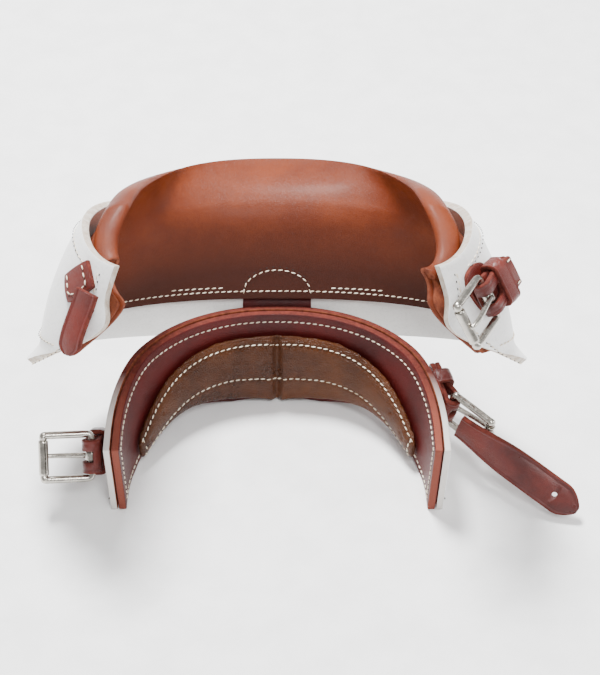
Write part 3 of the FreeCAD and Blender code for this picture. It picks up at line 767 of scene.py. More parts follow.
@dataclass(frozen=True)
class CupForm:
    """The cup's surfaces, in its own tilted frame at the hinge."""

    tilt: float = 26.0
    widths: tuple[tuple[float, float], ...] = ((0, 84.0), (29.0, 76.0), (50.0, 64.5))
    squareness: float = 2.35
    depth: float = 58.0
    wing_depth: float = 39.0
    wing_wrap: float = 135.0
    corner_cutback: float = 50.0
    skirt_drop: float = 16.0
    skirt_lift: float = 6.0
    skirt_flare: float = 9.0
    side_flare: float = 13.0
    shell: float = 3.2
    back_height: float = 40.0
    side_height: float = 46.0
    front_height: float = 35.0
    lining: float = 3.0
    gap: float = 0.4
    crease: float = 29.0
    collar_radius: float = 22.0
    collar_inset: float = 8.0
    rim_front: float = 31.0
    rim_wraps: tuple[float, float] = (116.0, 127.0)
    roll: tuple[float, float] = (3.7, 4.3)

    def place(self, point: Vector) -> Vector:
        """A point of the cup's frame, in the row frame."""
        return HINGE + (Matrix.Rotation(math.radians(-self.tilt), 3, "X") @ point) * MM

    def half_width(self, z: float) -> float:
        """Half the shell's inner width at a height."""
        return through(z, self.widths)

    def back(self, z: float) -> float:
        """How far back the shell's inner face stands at a height."""
        if z < 0:
            return self.skirt_flare * (-z / self.skirt_drop) ** 1.15
        above = max(z - self.crease, 0.0)
        return self.gap + 1.15 * above ** 2 / (2 * (self.collar_radius - self.lining))

    def side(self, angle: float) -> float:
        """0 at the back, 1 at the widest place and on to the front."""
        return math.sin(math.radians(min(abs(angle), 90))) ** 2

    def shell_low(self, angle: float) -> float:
        """Height of the shell's lower edge."""
        return -self.skirt_drop + self.skirt_lift * self.side(angle)

    def shell_high(self, angle: float) -> float:
        """Height of the shell's upper edge."""
        fall = (self.side_height - self.front_height) * smooth((abs(angle) - 90) / 45)
        return self.back_height + (self.side_height - self.back_height) * self.side(angle) - fall

    def wing_end(self, z: float) -> float:
        """Angle of the wing's front edge, round at its lower corner."""
        below = max(22 - z, 0.0) / (22 + self.skirt_drop)
        above = smooth((z - 14) / 18)
        return self.wing_wrap - self.corner_cutback * below ** 2 - 3.0 * above

    def shell_point(self, angle: float, z: float, offset: float) -> Vector:
        """A point of the shell, offset outwards from its inner face."""
        flare = self.side_flare * (max(-z, 0.0) / self.skirt_drop) ** 1.5
        return oval(angle, self.half_width(z) + flare + offset, self.back(z) + offset, self.depth,
                    self.wing_depth + offset, self.squareness, z)

    def rim_height(self, angle: float) -> float:
        """Height of the collar's end."""
        top = self.crease + self.collar_radius
        return top - (top - self.rim_front) * smooth((abs(angle) - 80) / 45)

    def collar_point(self, angle: float, share: float, depth_in_wall: float) -> Vector:
        """A point of the lining: share 0 to 1 up the wall, 1 to 2 up the collar."""
        weight = math.cos(math.radians(min(abs(angle), 90))) ** 2
        low = 1.5 - self.side(angle)
        crease = self.crease - 9 * smooth((abs(angle) - 90) / 35)
        rise = max(share - 1, 0.0)
        lean = math.radians(90 * rise)
        offset = -self.gap - self.lining + depth_in_wall * math.cos(lean * weight)
        if share <= 1:
            z = low + share * (crease - low)
        else:
            z = crease + (self.rim_height(angle) - crease) * (weight * math.sin(lean) + (1 - weight) * rise)
        back = self.collar_radius * (1 - math.cos(lean))
        half = self.half_width(z) + offset - self.collar_inset * rise
        point = oval(angle, half, back + offset, self.depth, self.wing_depth + offset, self.squareness, z)
        return point - Vector((0, 0, depth_in_wall * math.sin(lean * weight)))

    def lining_end(self, share: float, side: int) -> float:
        """Angle at which the lining ends in front, on the left (-1) or right (1)."""
        rise = max(share - 1, 0.0)
        wall = self.wing_wrap + 0.5 - 17 * max(1 - share, 0.0) ** 1.5
        return wall + (self.rim_wraps[0 if side < 0 else 1] - wall) * smooth(rise)

    def roll_section(self, angle: float, skin: float) -> list[Vector]:
        """The rolled rim's curl at an angle, as points of the middle of a skin of leather."""
        radius = self.roll[0] + (self.roll[1] - self.roll[0]) * self.side(angle) - skin / 2
        radius -= 1.4 * smooth((abs(angle) - 96) / 30)
        edge = self.collar_point(angle, 2.0, 1.5)
        away = (edge - self.collar_point(angle, 1.9, 1.5)).normalized()
        top = (self.collar_point(angle, 1.9, 0.0) - self.collar_point(angle, 1.9, 3.0)).normalized()
        tuck = self.side(angle)
        centre = edge + away * (radius + skin / 2 + self.gap) * (1 - tuck)
        centre -= top * (radius - 0.9) * tuck
        points = []
        for degrees in range(64, 640, 16):
            turn = math.radians(degrees)
            shrink = radius - 1.35 * skin * max(degrees - 200, 0) / 360
            points.append(centre + (top * math.sin(turn) - away * math.cos(turn)) * max(shrink, 0.9))
        return points


@dataclass(frozen=True)
class BandForm:
    """The pastern band's surfaces."""

    height: float = 40.3
    slant: float = 6.0
    slant_lost_in_legs: float = 0.75
    squareness: float = 2.2
    radius: float = 65.0
    leg: float = 8.0
    arch: float = 5.0
    end_fall: float = 8.0
    setback: float = 2.2
    leg_middle: float = 48.0
    outer: float = 2.6
    lining: float = 3.0
    gap: float = 0.4
    pad_bottom: float = 2.0
    pad_top: float = 32.5
    pad_end: float = 9.0
    pad_span: float = 0.8
    pad_edge: float = 2.4
    pad_swell: float = 4.1

    def place(self, point: Vector) -> Vector:
        """A point of the band's frame, in the row frame."""
        return Vector((0, HINGE.y - self.setback * MM, 0)) + point * MM

    def length(self) -> float:
        """Length of the plan curve from the middle of the back to a leg's end."""
        return 0.5 * math.pi * self.radius * 1.03 + self.leg

    def point(self, share: float, inset: float, z: float) -> Vector:
        """A point of the band; share -1 to 1 runs from leg end to leg end."""
        run = abs(share) * self.length()
        bend = self.length() - self.leg
        sign = 1 if share >= 0 else -1
        slant = self.slant * (1 - self.slant_lost_in_legs * smooth(2 * abs(share) - 1))
        inset += slant * (1 - z / self.height)
        reach = self.radius - inset
        if run <= bend:
            turn = 0.5 * math.pi * run / bend
            across = reach * math.sin(turn) ** (2 / self.squareness)
            inward = max(math.cos(turn), 0.0) ** (2 / self.squareness)
            return Vector((sign * across, -inset - reach * (1 - inward), z))
        return Vector((sign * reach, -self.radius - (run - bend), z))

    def low(self, share: float) -> float:
        """Height of the band's lower edge."""
        return max(0.0, -2 + (self.arch + 2) * math.sin(math.pi * share) ** 2)

    def high(self, share: float) -> float:
        """Height of the band's upper edge."""
        return self.height - self.end_fall * smooth((abs(share) - 0.55) / 0.45)

    def away(self, point: Vector) -> Vector:
        """The level direction from the middle of the leg to a point in metres."""
        return Vector((point.x, point.y + self.leg_middle * MM, 0)).normalized()

    def pad_back(self) -> float:
        """Inset of the pad's back."""
        return self.outer + self.lining + 2 * self.gap

    def pad_point(self, share: float, up: float, swell: float) -> Vector:
        """A point of the pad's face or back; share and up run over the pad."""
        whole = self.pad_top - self.pad_bottom
        crown = self.pad_end + (whole - self.pad_end) * (1 - abs(share) ** 2.6)
        arch = self.arch * math.sin(math.pi * share * self.pad_span) ** 2
        arch -= 1.6 * math.exp(-(share / 0.05) ** 2)
        z = self.pad_bottom + arch + up * (crown - arch)
        return self.point(share * self.pad_span, self.pad_back() + swell, z)


CUP = CupForm()
BAND = BandForm()


def outward_of(surface: Callable[[float, float], Vector], a: float, b: float, step_a: float,
               step_b: float) -> Vector:
    """The unit normal of a surface of two parameters."""
    along = surface(a + step_a, b) - surface(a - step_a, b)
    upward = surface(a, b + step_b) - surface(a, b - step_b)
    return along.cross(upward).normalized()


def laid_grid(surface: Callable[[float, float], Vector], a: float, b: float, width: float, length: float,
              turn: float, corner: float = 0.25) -> Grid:
    """A patch that lies on a surface, as a grid with rounded corners.

    Args:
        surface: gives a point in metres for its two parameters; the second is a height in millimetres.
        a: first parameter of the patch's middle.
        b: second parameter of the patch's middle.
        width: size across, in millimetres.
        length: size along, in millimetres.
        turn: degrees the patch is turned on the surface.
        corner: how much the corners are pulled in, as a share.
    Returns:
        rows of points in metres.
    """
    per_unit = (surface(a + 0.01, b) - surface(a - 0.01, b)).length / 0.02 / MM
    cosine, sine = math.cos(math.radians(turn)), math.sin(math.radians(turn))
    rows = []
    for v in spread(13):
        row = []
        for u in spread(13):
            pull = 1 - corner * (u * u * v * v)
            x, y = u * width / 2 * pull, v * length / 2 * pull
            row.append(surface(a + (x * cosine - y * sine) / per_unit, b + x * sine + y * cosine))
        rows.append(row)
    return rows


# ---------------------------------------------------------------- the cup

@dataclass
class Cup:
    """White shell, tan lining with its collar and rolled rim, and the sewn lines that hold them."""

    finishes: Finishes
    sewing: Sewing
    skin: float = 1.4
    columns: int = 181

    def shell_surface(self, angle: float, z: float, offset: float) -> Vector:
        """A point of the shell in metres."""
        return CUP.place(CUP.shell_point(angle, z, offset))

    def lining_surface(self, angle: float, z: float, offset: float = 0.0) -> Vector:
        """A point on the wall of the lining at a height, in metres."""
        low = 1.5 - CUP.side(angle)
        return CUP.place(CUP.collar_point(angle, (z - low) / (CUP.crease - low), -offset))

    def shell(self) -> None:
        """The white shell."""
        rows = []
        for level in spread(34, 0, 1):
            end = CUP.wing_end(-CUP.skirt_drop + level * (CUP.skirt_drop + CUP.side_height))
            row = []
            for station in spread(self.columns):
                angle = station * end
                low = CUP.shell_low(angle)
                z = low + level * (CUP.shell_high(angle) - low)
                row.append(self.shell_surface(angle, z, CUP.shell / 2))
            rows.append(row)
        piece = leather_sheet("shell_leather", rows, CUP.shell - 0.1,
                              [self.finishes.white, self.finishes.white, self.finishes.white_edge], 0.7)
        finish_piece(piece, "cup", Slot.WHITE, ["cup_shell"])

    def lining(self) -> None:
        """The lining's face leather, which runs on round the rim in one curl, and its backing."""
        columns = []
        for station in spread(self.columns):
            side = 1 if station >= 0 else -1
            column = []
            for share in spread(46, 0, 1.93):
                angle = station * CUP.lining_end(share, side)
                column.append(CUP.collar_point(angle, share, self.skin / 2))
            curl = CUP.roll_section(station * CUP.lining_end(2, side), self.skin)
            join_at = len(column)
            column += curl
            for _ in range(24):
                for i in range(join_at - 14, join_at + 4):
                    column[i] = (column[i - 1] + column[i] * 2 + column[i + 1]) / 4
            columns.append([CUP.place(point) for point in column])
        rows = [list(row) for row in zip(*columns)]
        tan = self.finishes.tan
        piece = leather_sheet("lining_leather", rows, self.skin, [tan, tan, self.finishes.raw], 0.35)
        finish_piece(piece, "cup", Slot.TAN, ["cup_lining", "rim_roll"])
        backing = []
        for share in spread(36, 0.0, 1.86):
            row = []
            for station in spread(self.columns):
                end = CUP.lining_end(share, 1 if station >= 0 else -1) - 0.8
                row.append(CUP.place(CUP.collar_point(station * end, share, self.skin + 0.85)))
            backing.append(row)
        raw = self.finishes.raw
        piece = leather_sheet("lining_backing", backing, 1.4, [raw, raw, raw], 0.3)
        finish_piece(piece, "cup", Slot.TAN)

    def cord(self) -> None:
        """The cord inside the rim, twisted from three strands and stopped short of both ends."""
        strands = []
        for strand in range(3):
            points = []
            for index, station in enumerate(spread(241)):
                side = 1 if station >= 0 else -1
                angle = station * (CUP.lining_end(2, side) - 4)
                curl = CUP.roll_section(angle, self.skin)
                middle = sum(curl[8:30], Vector()) / 22
                turn = index * 0.42 + strand * 2 * math.pi / 3
                ahead = Vector((math.cos(math.radians(angle)), math.sin(math.radians(angle)) * -side, 0))
                normal = Vector((0, 0, 1)).cross(ahead).normalized()
                offset = normal * math.cos(turn) + Vector((0, 0, 1)) * math.sin(turn)
                points.append(CUP.place(middle + offset * 0.55))
            strands.append(tube("strand", points, [0.62] * len(points), self.finishes.cord, sides=8))
        finish_piece(join("twisted_cord", strands), "cup", Slot.FILLING, ["rim_cord"])

    def sew(self) -> None:
        """The row along the lining's foot, the half-moon over the hinge, and the rows on the wings."""
        foot = [(angle, 4.6 - 1.5 * CUP.side(angle)) for angle in spread(160, -112, 112)]
        self.line(foot, self.lining_surface, 0.0, -1)
        for low, high in ((-27, -13), (13, 27)):
            self.line([(a, 6.1) for a in spread(24, low, high)], self.lining_surface, 0.0, -1)
        moon = []
        for turn in spread(60, 0, math.pi):
            across = 13.8 * math.cos(turn)
            angle = math.copysign(math.degrees(math.asin((abs(across) / 84) ** (2.35 / 2))), across)
            moon.append((angle, 4.6 + 8.6 * math.sin(turn)))
        self.line(moon, self.lining_surface, 0.0, -1)
        for side in (-1, 1):
            edge = [(side * (CUP.wing_end(z) - 5.5), z) for z in spread(60, -6, 31)]
            self.line(edge, self.shell_surface, CUP.shell, 1)
            inner = [(side * (CUP.wing_end(z) - 5.5), z) for z in spread(50, 0, 28)]
            self.line(inner, self.lining_surface, 0.0, -1)
        for low, high in ((-119, -30), (30, 119)):
            row = [(a, CUP.shell_high(a) - 4.5) for a in spread(120, low, high)]
            self.line(row, self.shell_surface, CUP.shell, 1)
        outside = [(a, 4.6 - 1.5 * CUP.side(a)) for a in spread(200, -112, 112)]
        self.line(outside, self.shell_surface, CUP.shell, 1)

    def line(self, path: Sequence[tuple[float, float]], surface: Callable, offset: float, way: int) -> None:
        """Sews along (angle, height) pairs of a surface; way 1 faces outwards, -1 into the cup."""
        points, ups = [], []
        for angle, z in path:
            points.append(surface(angle, z, offset))
            normal = outward_of(lambda a, b: surface(a, b, offset), angle, z, 0.2, 0.2)
            centre = CUP.place(Vector((0, -40, z)))
            if normal.dot(points[-1] - centre) < 0:
                normal = -normal
            ups.append(normal * way)
        self.sewing.add("cup", points, ups)

    def build(self) -> None:
        """Builds the cup."""
        self.shell()
        self.lining()
        self.cord()
        self.sew()


# ---------------------------------------------------------------- the hinge leather

@dataclass
class HingeLeather:
    """The half-moon of leather that folds between the cup and the band."""

    finishes: Finishes
    half_width: float = 13.6
    rise: float = 10.4
    drop: float = 15.4

    def build(self) -> None:
        """Makes one sheet that bends across the hinge."""
        slope = math.atan2(BAND.slant, BAND.height)
        rows = []
        for level in spread(41, -self.drop, self.rise):
            if level > 1:
                wide = math.sqrt(max(1 - ((level - 1) / (self.rise - 0.9)) ** 2, 0.02))
            elif level < -4:
                wide = math.sqrt(max(1 - ((-4 - level) / (self.drop - 3.9)) ** 2, 0.02))
            else:
                wide = 1.0
            row = []
            for u in spread(31):
                x = u * self.half_width * wide
                if level >= 0:
                    point = CUP.place(Vector((x, 0.75, level)))
                else:
                    back = 0.75 * math.cos(slope) - BAND.setback + 0.3 + level * math.sin(slope)
                    lean = Vector((x, back, level))
                    point = HINGE + lean * MM
                row.append(point)
            rows.append(row)
        for _ in range(4):
            for j in range(20, 29):
                for i in range(31):
                    rows[j][i] = (rows[j - 1][i] + rows[j][i] * 2 + rows[j + 1][i]) / 4
        oxblood = self.finishes.oxblood
        piece = leather_sheet("hinge_fold", rows, 1.35, [oxblood, oxblood, self.finishes.raw_dark], 0.3)
        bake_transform(piece)
        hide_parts("hinge_leather_cup", "hinge_leather_band")
        LOG.info("hinge_fold bends between band and cup")


# ---------------------------------------------------------------- the pastern band

@dataclass
class Band:
    """Outer leather, oxblood lining, stuffed pad and their sewn lines."""

    finishes: Finishes
    sewing: Sewing
    columns: int = 161

    def surface(self, share: float, z: float, inset: float) -> Vector:
        """A point of the band in metres."""
        return BAND.place(BAND.point(share, inset, z))

    def layer(self, name: str, inset: float, thickness: float, materials: Sequence[bpy.types.Material],
              trim: float = 0.0) -> bpy.types.Object:
        """One leather layer of the band."""
        rows = []
        for level in spread(24, 0, 1):
            row = []
            for share in spread(self.columns):
                low, high = BAND.low(share) + trim, BAND.high(share) - trim
                row.append(self.surface(share, low + level * (high - low), inset))
            rows.append(row)
        return leather_sheet(name, rows, thickness, materials, 0.55)

    def build(self) -> None:
        """Builds the band."""
        outer = self.layer("band_outer_leather", BAND.outer / 2, BAND.outer,
                           [self.finishes.raw, self.finishes.white, self.finishes.band_edge])
        finish_piece(outer, "band", Slot.BAND, ["band_outer"])
        middle = BAND.outer + BAND.gap + BAND.lining / 2
        oxblood = self.finishes.oxblood
        lining = self.layer("band_lining_leather", middle, BAND.lining,
                            [oxblood, oxblood, self.finishes.lining_edge])
        finish_piece(lining, "band", Slot.OXBLOOD, ["band_lining"])
        self.sew()

    def sew(self) -> None:
        """The rows near the band's edges, inside and out."""
        end, margin = 0.965, 3.2
        inner = BAND.outer + BAND.gap + BAND.lining
        for inset, way in ((inner, -1), (0.0, 1)):
            rows = [[(s, BAND.high(s) - margin) for s in spread(240, -end, end)]]
            for side in (-1, 1):
                rows.append([(side * s, BAND.low(s) + margin) for s in spread(90, 0.55, end)])
                heights = spread(30, BAND.low(end) + margin, BAND.high(end) - margin)
                rows.append([(side * end, z) for z in heights])
            for row in rows:
                points = [self.surface(s, z, inset) for s, z in row]
                ups = []
                for (s, z), point in zip(row, points):
                    away = self.surface(s, z, inset - 1.0) - point
                    ups.append(away.normalized() * way)
                self.sewing.add("band", points, ups)


@dataclass
class Pad:
    """The stuffed crescent inside the band, blown up by a cloth simulation, then stitched down."""

    finishes: Finishes
    sewing: Sewing
    voxel: float = 1.3
    cap: float = 1.5

    def blank(self) -> bpy.types.Object:
        """The closed shape before it is stuffed."""
        front, back = [], []
        for up in spread(18, 0.0, 1.0):
            fade = max(math.sin(math.pi * up), 0.0) ** 0.6
            front.append([])
            back.append([])
            for share in spread(121):
                end = (1 - share ** 8) ** 0.5
                swell = BAND.pad_edge + 0.62 * BAND.pad_swell * fade * end
                front[-1].append(BAND.place(BAND.pad_point(share * 0.99, up, swell)))
                back[-1].append(BAND.place(BAND.pad_point(share * 0.99, up, 0.3)))
        rows, columns = len(front), len(front[0])
        verts = [p for row in front + back for p in row]
        size = rows * columns
        faces: list[Sequence[int]] = list(grid_faces(rows, columns))
        faces += [tuple(size + i for i in reversed(face)) for face in grid_faces(rows, columns)]
        ring = [i for i in range(columns)] + [r * columns + columns - 1 for r in range(1, rows)]
        ring += [(rows - 1) * columns + i for i in range(columns - 2, -1, -1)]
        ring += [r * columns for r in range(rows - 2, 0, -1)]
        for i, corner in enumerate(ring):
            after = ring[(i + 1) % len(ring)]
            faces.append((corner, after, size + after, size + corner))
        piece = new_object("pad_cover", verts, faces, [self.finishes.pad])
        recalculate(piece)
        return piece

    def stuff(self, piece: bpy.types.Object) -> None:
        """Blows the blank up and keeps its back where it lies on the lining."""
        remesh = piece.modifiers.new("remesh", "REMESH")
        remesh.mode = "VOXEL"
        remesh.voxel_size = self.voxel * MM
        apply_modifiers(piece)
        rest = [v.co.copy() for v in piece.data.vertices]
        cloth = piece.modifiers.new("cloth", "CLOTH")
        cloth.settings.use_pressure = True
        cloth.settings.uniform_pressure_force = 4.0
        cloth.settings.effector_weights.gravity = 0.0
        cloth.settings.quality = 5
        scene = bpy.context.scene
        for number in range(1, 21):
            scene.frame_set(number)
        apply_modifiers(piece)
        scene.frame_set(1)
        for vertex, start in zip(piece.data.vertices, rest):
            move = vertex.co - start
            away = BAND.away(start)
            if move.dot(away) > 0:
                move -= away * move.dot(away)
            if move.length > self.cap * MM:
                move *= self.cap * MM / move.length
            vertex.co = start + move
        even = piece.modifiers.new("even", "SMOOTH")
        even.factor = 0.5
        even.iterations = 4
        fine = piece.modifiers.new("fine", "SUBSURF")
        fine.levels = 1
        fine.render_levels = 1
        apply_modifiers(piece)

    def project(self, tree: BVHTree, share: float, up: float) -> tuple[Vector, Vector]:
        """The point of the stuffed pad's face over a design point, and its normal."""
        start = BAND.place(BAND.pad_point(share, up, 16.0))
        target = BAND.place(BAND.pad_point(share, up, 0.5))
        hit, normal, _, _ = tree.ray_cast(start, (target - start).normalized())
        if hit is None:
            hit, normal, _, _ = tree.find_nearest(start)
        return hit, normal

    def seams(self) -> list[list[tuple[float, float]]]:
        """The stitched lines as (share, up) pairs."""
        top = [(s, 0.9) for s in spread(150, -0.955, -0.03)] + [(0.0, 0.86)]
        top += [(s, 0.9) for s in spread(150, 0.03, 0.955)]
        low = [(s, 0.36 + 0.05 * math.cos(3 * s) - 0.24 * abs(s) ** 3) for s in spread(220, -0.95, 0.95)]
        ends = [[(side * 0.955, up) for up in spread(20, 0.12, 0.88)] for side in (-1, 1)]
        second = [(s, 0.955) for s in spread(300, -0.95, 0.95)]
        return [top, low, second] + ends

    def press(self, piece: bpy.types.Object, lines: Sequence[Sequence[Vector]], depth: float,
              width: float) -> None:
        """Presses the pad's face in along lines."""
        points = [point for line in lines for point in line]
        near = KDTree(len(points))
        for index, point in enumerate(points):
            near.insert(point, index)
        near.balance()
        for vertex in piece.data.vertices:
            _, _, distance = near.find(vertex.co)
            amount = math.exp(-(distance / (width * MM)) ** 2)
            if amount > 0.02:
                vertex.co += BAND.away(vertex.co) * (depth * MM * amount)

    def build(self) -> None:
        """Builds, stuffs and stitches the pad."""
        piece = self.blank()
        self.stuff(piece)
        tree = BVHTree.FromObject(piece, bpy.context.evaluated_depsgraph_get())
        seams = [[self.project(tree, s, up)[0] for s, up in line] for line in self.seams()]
        self.press(piece, seams, 0.55, 0.9)
        middle = [self.project(tree, 0.0, up)[0] for up in spread(60, 0.0, 0.95)]
        self.press(piece, [middle], 2.1, 1.5)
        piece.data.shade_smooth()
        piece.data.update()
        bpy.context.view_layer.update()
        tree = BVHTree.FromObject(piece, bpy.context.evaluated_depsgraph_get())
        for line in self.seams()[:2] + self.seams()[3:]:
            hits = [self.project(tree, s, up) for s, up in line]
            points = [hit for hit, _ in hits]
            ups = []
            for point, normal in hits:
                facing = -BAND.away(point)
                ups.append((normal if normal.dot(facing) > 0 else facing).normalized())
            self.sewing.add("band", points, ups, 0.2)
        finish_piece(piece, "band", Slot.PAD, ["band_pad_cover", "band_pad_filling"])


# ---------------------------------------------------------------- buckles and straps

@dataclass
class Buckle:
    """A roller buckle on its folded leather, with a keeper loop and a base patch."""

    finishes: Finishes
    sewing: Sewing
    name: str
    parent: str
    lift: float
    base: Grid
    gap: float = 8.5
    reach: float = 18.0
    chape: float = 17.0
    bends: tuple[float, float] = (1.8, 1.3)

    def __post_init__(self) -> None:
        """Reads the buckle's frame from its joints."""
        hinge = joint(self.name + "_buckle_swing")
        self.origin = Vector(hinge["pos_m"])
        self.x = Vector(hinge["axis"]).normalized()
        roller = Vector(joint(self.name + "_roller_spin")["pos_m"])
        self.y = (roller - self.origin).normalized()
        self.z = self.x.cross(self.y)
        lower = Matrix.Rotation(math.radians(-self.lift), 3, self.x)
        self.seat_y = lower @ self.y
        self.seat_z = lower @ self.z

    def raised(self, x: float, y: float, z: float) -> Vector:
        """A point of the swung frame, given in millimetres."""
        return self.origin + (self.x * x + self.y * y + self.z * z) * MM

    def seated(self, x: float, y: float, z: float) -> Vector:
        """A point of the leather seat, given in millimetres."""
        return self.origin + (self.x * x + self.seat_y * y + self.seat_z * z) * MM

    def wire(self) -> None:
        """The frame: a bent bar that swells towards the roller's corners."""
        corners = [(-self.gap, 0), (self.gap, 0), (self.gap, self.reach), (-self.gap, self.reach)]
        points, radii = [], []
        for index, (x, y) in enumerate(corners):
            before, after = corners[index - 1], corners[(index + 1) % 4]
            bend = self.bends[index // 2]
            for step in spread(9, 0, 1):
                start = Vector((x, y, 0)) + (Vector((*before, 0)) - Vector((x, y, 0))).normalized() * bend
                end = Vector((x, y, 0)) + (Vector((*after, 0)) - Vector((x, y, 0))).normalized() * bend
                corner = Vector((x, y, 0))
                spot = start * (1 - step) ** 2 + corner * 2 * step * (1 - step) + end * step ** 2
                points.append(self.raised(spot.x, spot.y, 0))
                radii.append(1.35 if index < 2 else 1.75 - 0.35 * abs(2 * step - 1))
            nxt = corners[(index + 1) % 4]
            for step in spread(12, 0, 1)[1:-1]:
                a = Vector((x, y, 0)) + (Vector((*nxt, 0)) - Vector((x, y, 0))).normalized() * bend
                other = self.bends[(index + 1) % 4 // 2]
                b = Vector((*nxt, 0)) + (Vector((x, y, 0)) - Vector((*nxt, 0))).normalized() * other
                spot = a.lerp(b, step)
                points.append(self.raised(spot.x, spot.y, 0))
                ends = {0: (1.3, 1.3), 1: (1.4, 1.45), 2: (1.0, 1.0), 3: (1.45, 1.4)}[index]
                radii.append(ends[0] + (ends[1] - ends[0]) * step)
        piece = tube(self.name + "_wire", points, radii, self.finishes.nickel, closed=True, sides=24)
        finish_piece(piece, self.name + "_buckle", Slot.NICKEL, [self.name + "_buckle_frame"])

    def roller(self) -> None:
        """The roller: a sleeve rolled from sheet, with its seam."""
        half = self.gap - 2.1
        rows = []
        for x in [-half, -half + 0.15] + spread(9, -half + 0.8, half - 0.8) + [half - 0.15, half]:
            row = []
            for degrees in spread(49, 4, 356):
                turn = math.radians(degrees + 250)
                ring = 1.48 - (0.12 if abs(x) > half - 0.1 else 0.0)
                row.append(self.raised(x, self.reach + ring * math.cos(turn), ring * math.sin(turn)))
            rows.append(row)
        nickel = self.finishes.nickel
        piece = leather_sheet(self.name + "_sleeve", rows, 0.78, [nickel] * 3, 0.14)
        finish_piece(piece, self.name + "_roller", Slot.NICKEL, [self.name + "_buckle_roller"])

    def tongue(self) -> None:
        """The tongue: a flat eye round the bar and a tapering prong."""
        rows = []
        for x in spread(5, -1.5, 1.5):
            turns = spread(41, 0.9, 0.9 + 2 * math.pi)
            rows.append([self.raised(x, 1.88 * math.cos(t), 1.88 * math.sin(t)) for t in turns])
        nickel = self.finishes.nickel
        eye = leather_sheet("eye", rows, 0.95, [nickel] * 3, 0.2)
        points, radii = [], []
        for share in spread(24, 0, 1):
            y = 0.3 + share * (self.reach + 1.3)
            z = 1.5 + 1.5 * smooth(share * 1.2) + 0.35 * math.sin(math.pi * share)
            z -= 0.5 * smooth((share - 0.9) * 10)
            points.append(self.raised(0, y, z))
            radii.append(1.1 - 0.25 * share if share < 0.97 else 0.6)
        prong = tube("prong", points, radii, nickel, sides=16)
        piece = join(self.name + "_prong", [prong, eye])
        finish_piece(piece, self.name + "_tongue", Slot.NICKEL, [self.name + "_buckle_tongue"])

    def fold(self) -> None:
        """The leather folded round the bar, slotted for the tongue and sewn to its base."""
        path = [(-self.chape, -0.45), (-13, -0.45), (-9.5, -0.35), (-6.5, 0.3), (-4.2, 1.35)]
        centre_line = [Vector((0, y, z)) for y, z in path]
        for degrees in spread(22, 118, -90):
            turn = math.radians(degrees)
            centre_line.append(Vector((0, 2.6 * math.cos(turn), 2.6 * math.sin(turn))))
        centre_line += [Vector((0, y, -2.6)) for y in spread(10, -1.5, -self.chape)]
        stations = []
        last = len(centre_line) - 1
        for index, point in enumerate(centre_line):
            along = (centre_line[min(index + 1, last)] - centre_line[max(index - 1, 0)]).normalized()
            outward = Vector((1, 0, 0)).cross(along)
            tip = min(index, last - index)
            half = 6.35 if tip > 0 else 5.6
            outward = self.x * outward.x + self.seat_y * outward.y + self.seat_z * outward.z
            stations.append(Station(self.seated(*point), self.x, outward, half))
        leather = [self.finishes.strap, self.finishes.raw_dark]
        piece = ribbon(self.name + "_fold", stations, 1.9, leather, groove=0.18)
        outline = [(-2.2, -5.6), (-1.2, -6.6), (1.2, -6.6), (2.2, -5.6), (2.2, 6), (-2.2, 6)]
        carve(piece, [self.prism(outline, -1.2, 6)])
        finish_piece(piece, self.parent, Slot.STRAP, [self.name + "_chape"])
        self.seam([(x, -8.3) for x in spread(12, -4.6, 4.6)])
        for side in (-4.7, 4.7):
            self.seam([(side, y) for y in spread(16, -15.6, -8.6)])

    def seam(self, path: Sequence[tuple[float, float]]) -> None:
        """A sewn line on top of the fold."""
        points = [self.seated(x, y, 0.5 if y < -9 else 0.62) for x, y in path]
        self.sewing.add(self.parent, points, [self.seat_z] * len(points), 0.1)

    def prism(self, outline: Sequence[tuple[float, float]], low: float, high: float) -> bpy.types.Object:
        """A closed cutter over an outline on the seat."""
        count = len(outline)
        verts = [self.seated(x, y, z) for z in (low, high) for x, y in outline]
        faces: list[Sequence[int]] = [list(range(count)), list(range(count, 2 * count))]
        faces += [(i, (i + 1) % count, count + (i + 1) % count, count + i) for i in range(count)]
        cutter = new_object("cutter", verts, faces, [self.finishes.raw_dark])
        recalculate(cutter)
        return cutter

    def keeper(self) -> None:
        """The fixed loop behind the fold."""
        half, low, high, bend = 7.9, -4.65, 2.2, 2.4
        loop = []
        for cx, cz, first in ((half - bend, high - bend, 0), (bend - half, high - bend, 90),
                              (bend - half, low + bend, 180), (half - bend, low + bend, 270)):
            for degrees in spread(9, first, first + 90):
                turn = math.radians(degrees)
                loop.append((cx + bend * math.cos(turn), cz + bend * math.sin(turn)))
        stations = []
        for index, (x, z) in enumerate(loop):
            after, before = loop[(index + 1) % len(loop)], loop[index - 1]
            along = Vector((after[0] - before[0], after[1] - before[1])).normalized()
            outward = self.x * along.y - self.seat_z * along.x
            stations.append(Station(self.seated(x, -0.55 * self.chape, z), self.seat_y, outward, 2.95))
        piece = ribbon(self.name + "_loop", stations, 1.75, [self.finishes.strap, self.finishes.raw_dark],
                       closed=True, crease=1.0, groove=0.15)
        finish_piece(piece, self.parent, Slot.STRAP, [self.name + "_keeper"])

    def build(self) -> None:
        """Builds the buckle and its leather."""
        leather = [self.finishes.strap] * 2 + [self.finishes.raw_dark]
        base = leather_sheet(self.name + "_base", self.base, 1.9, leather)
        finish_piece(base, self.parent, Slot.STRAP)
        self.fold()
        self.keeper()
        self.wire()
        self.roller()
        self.tongue()


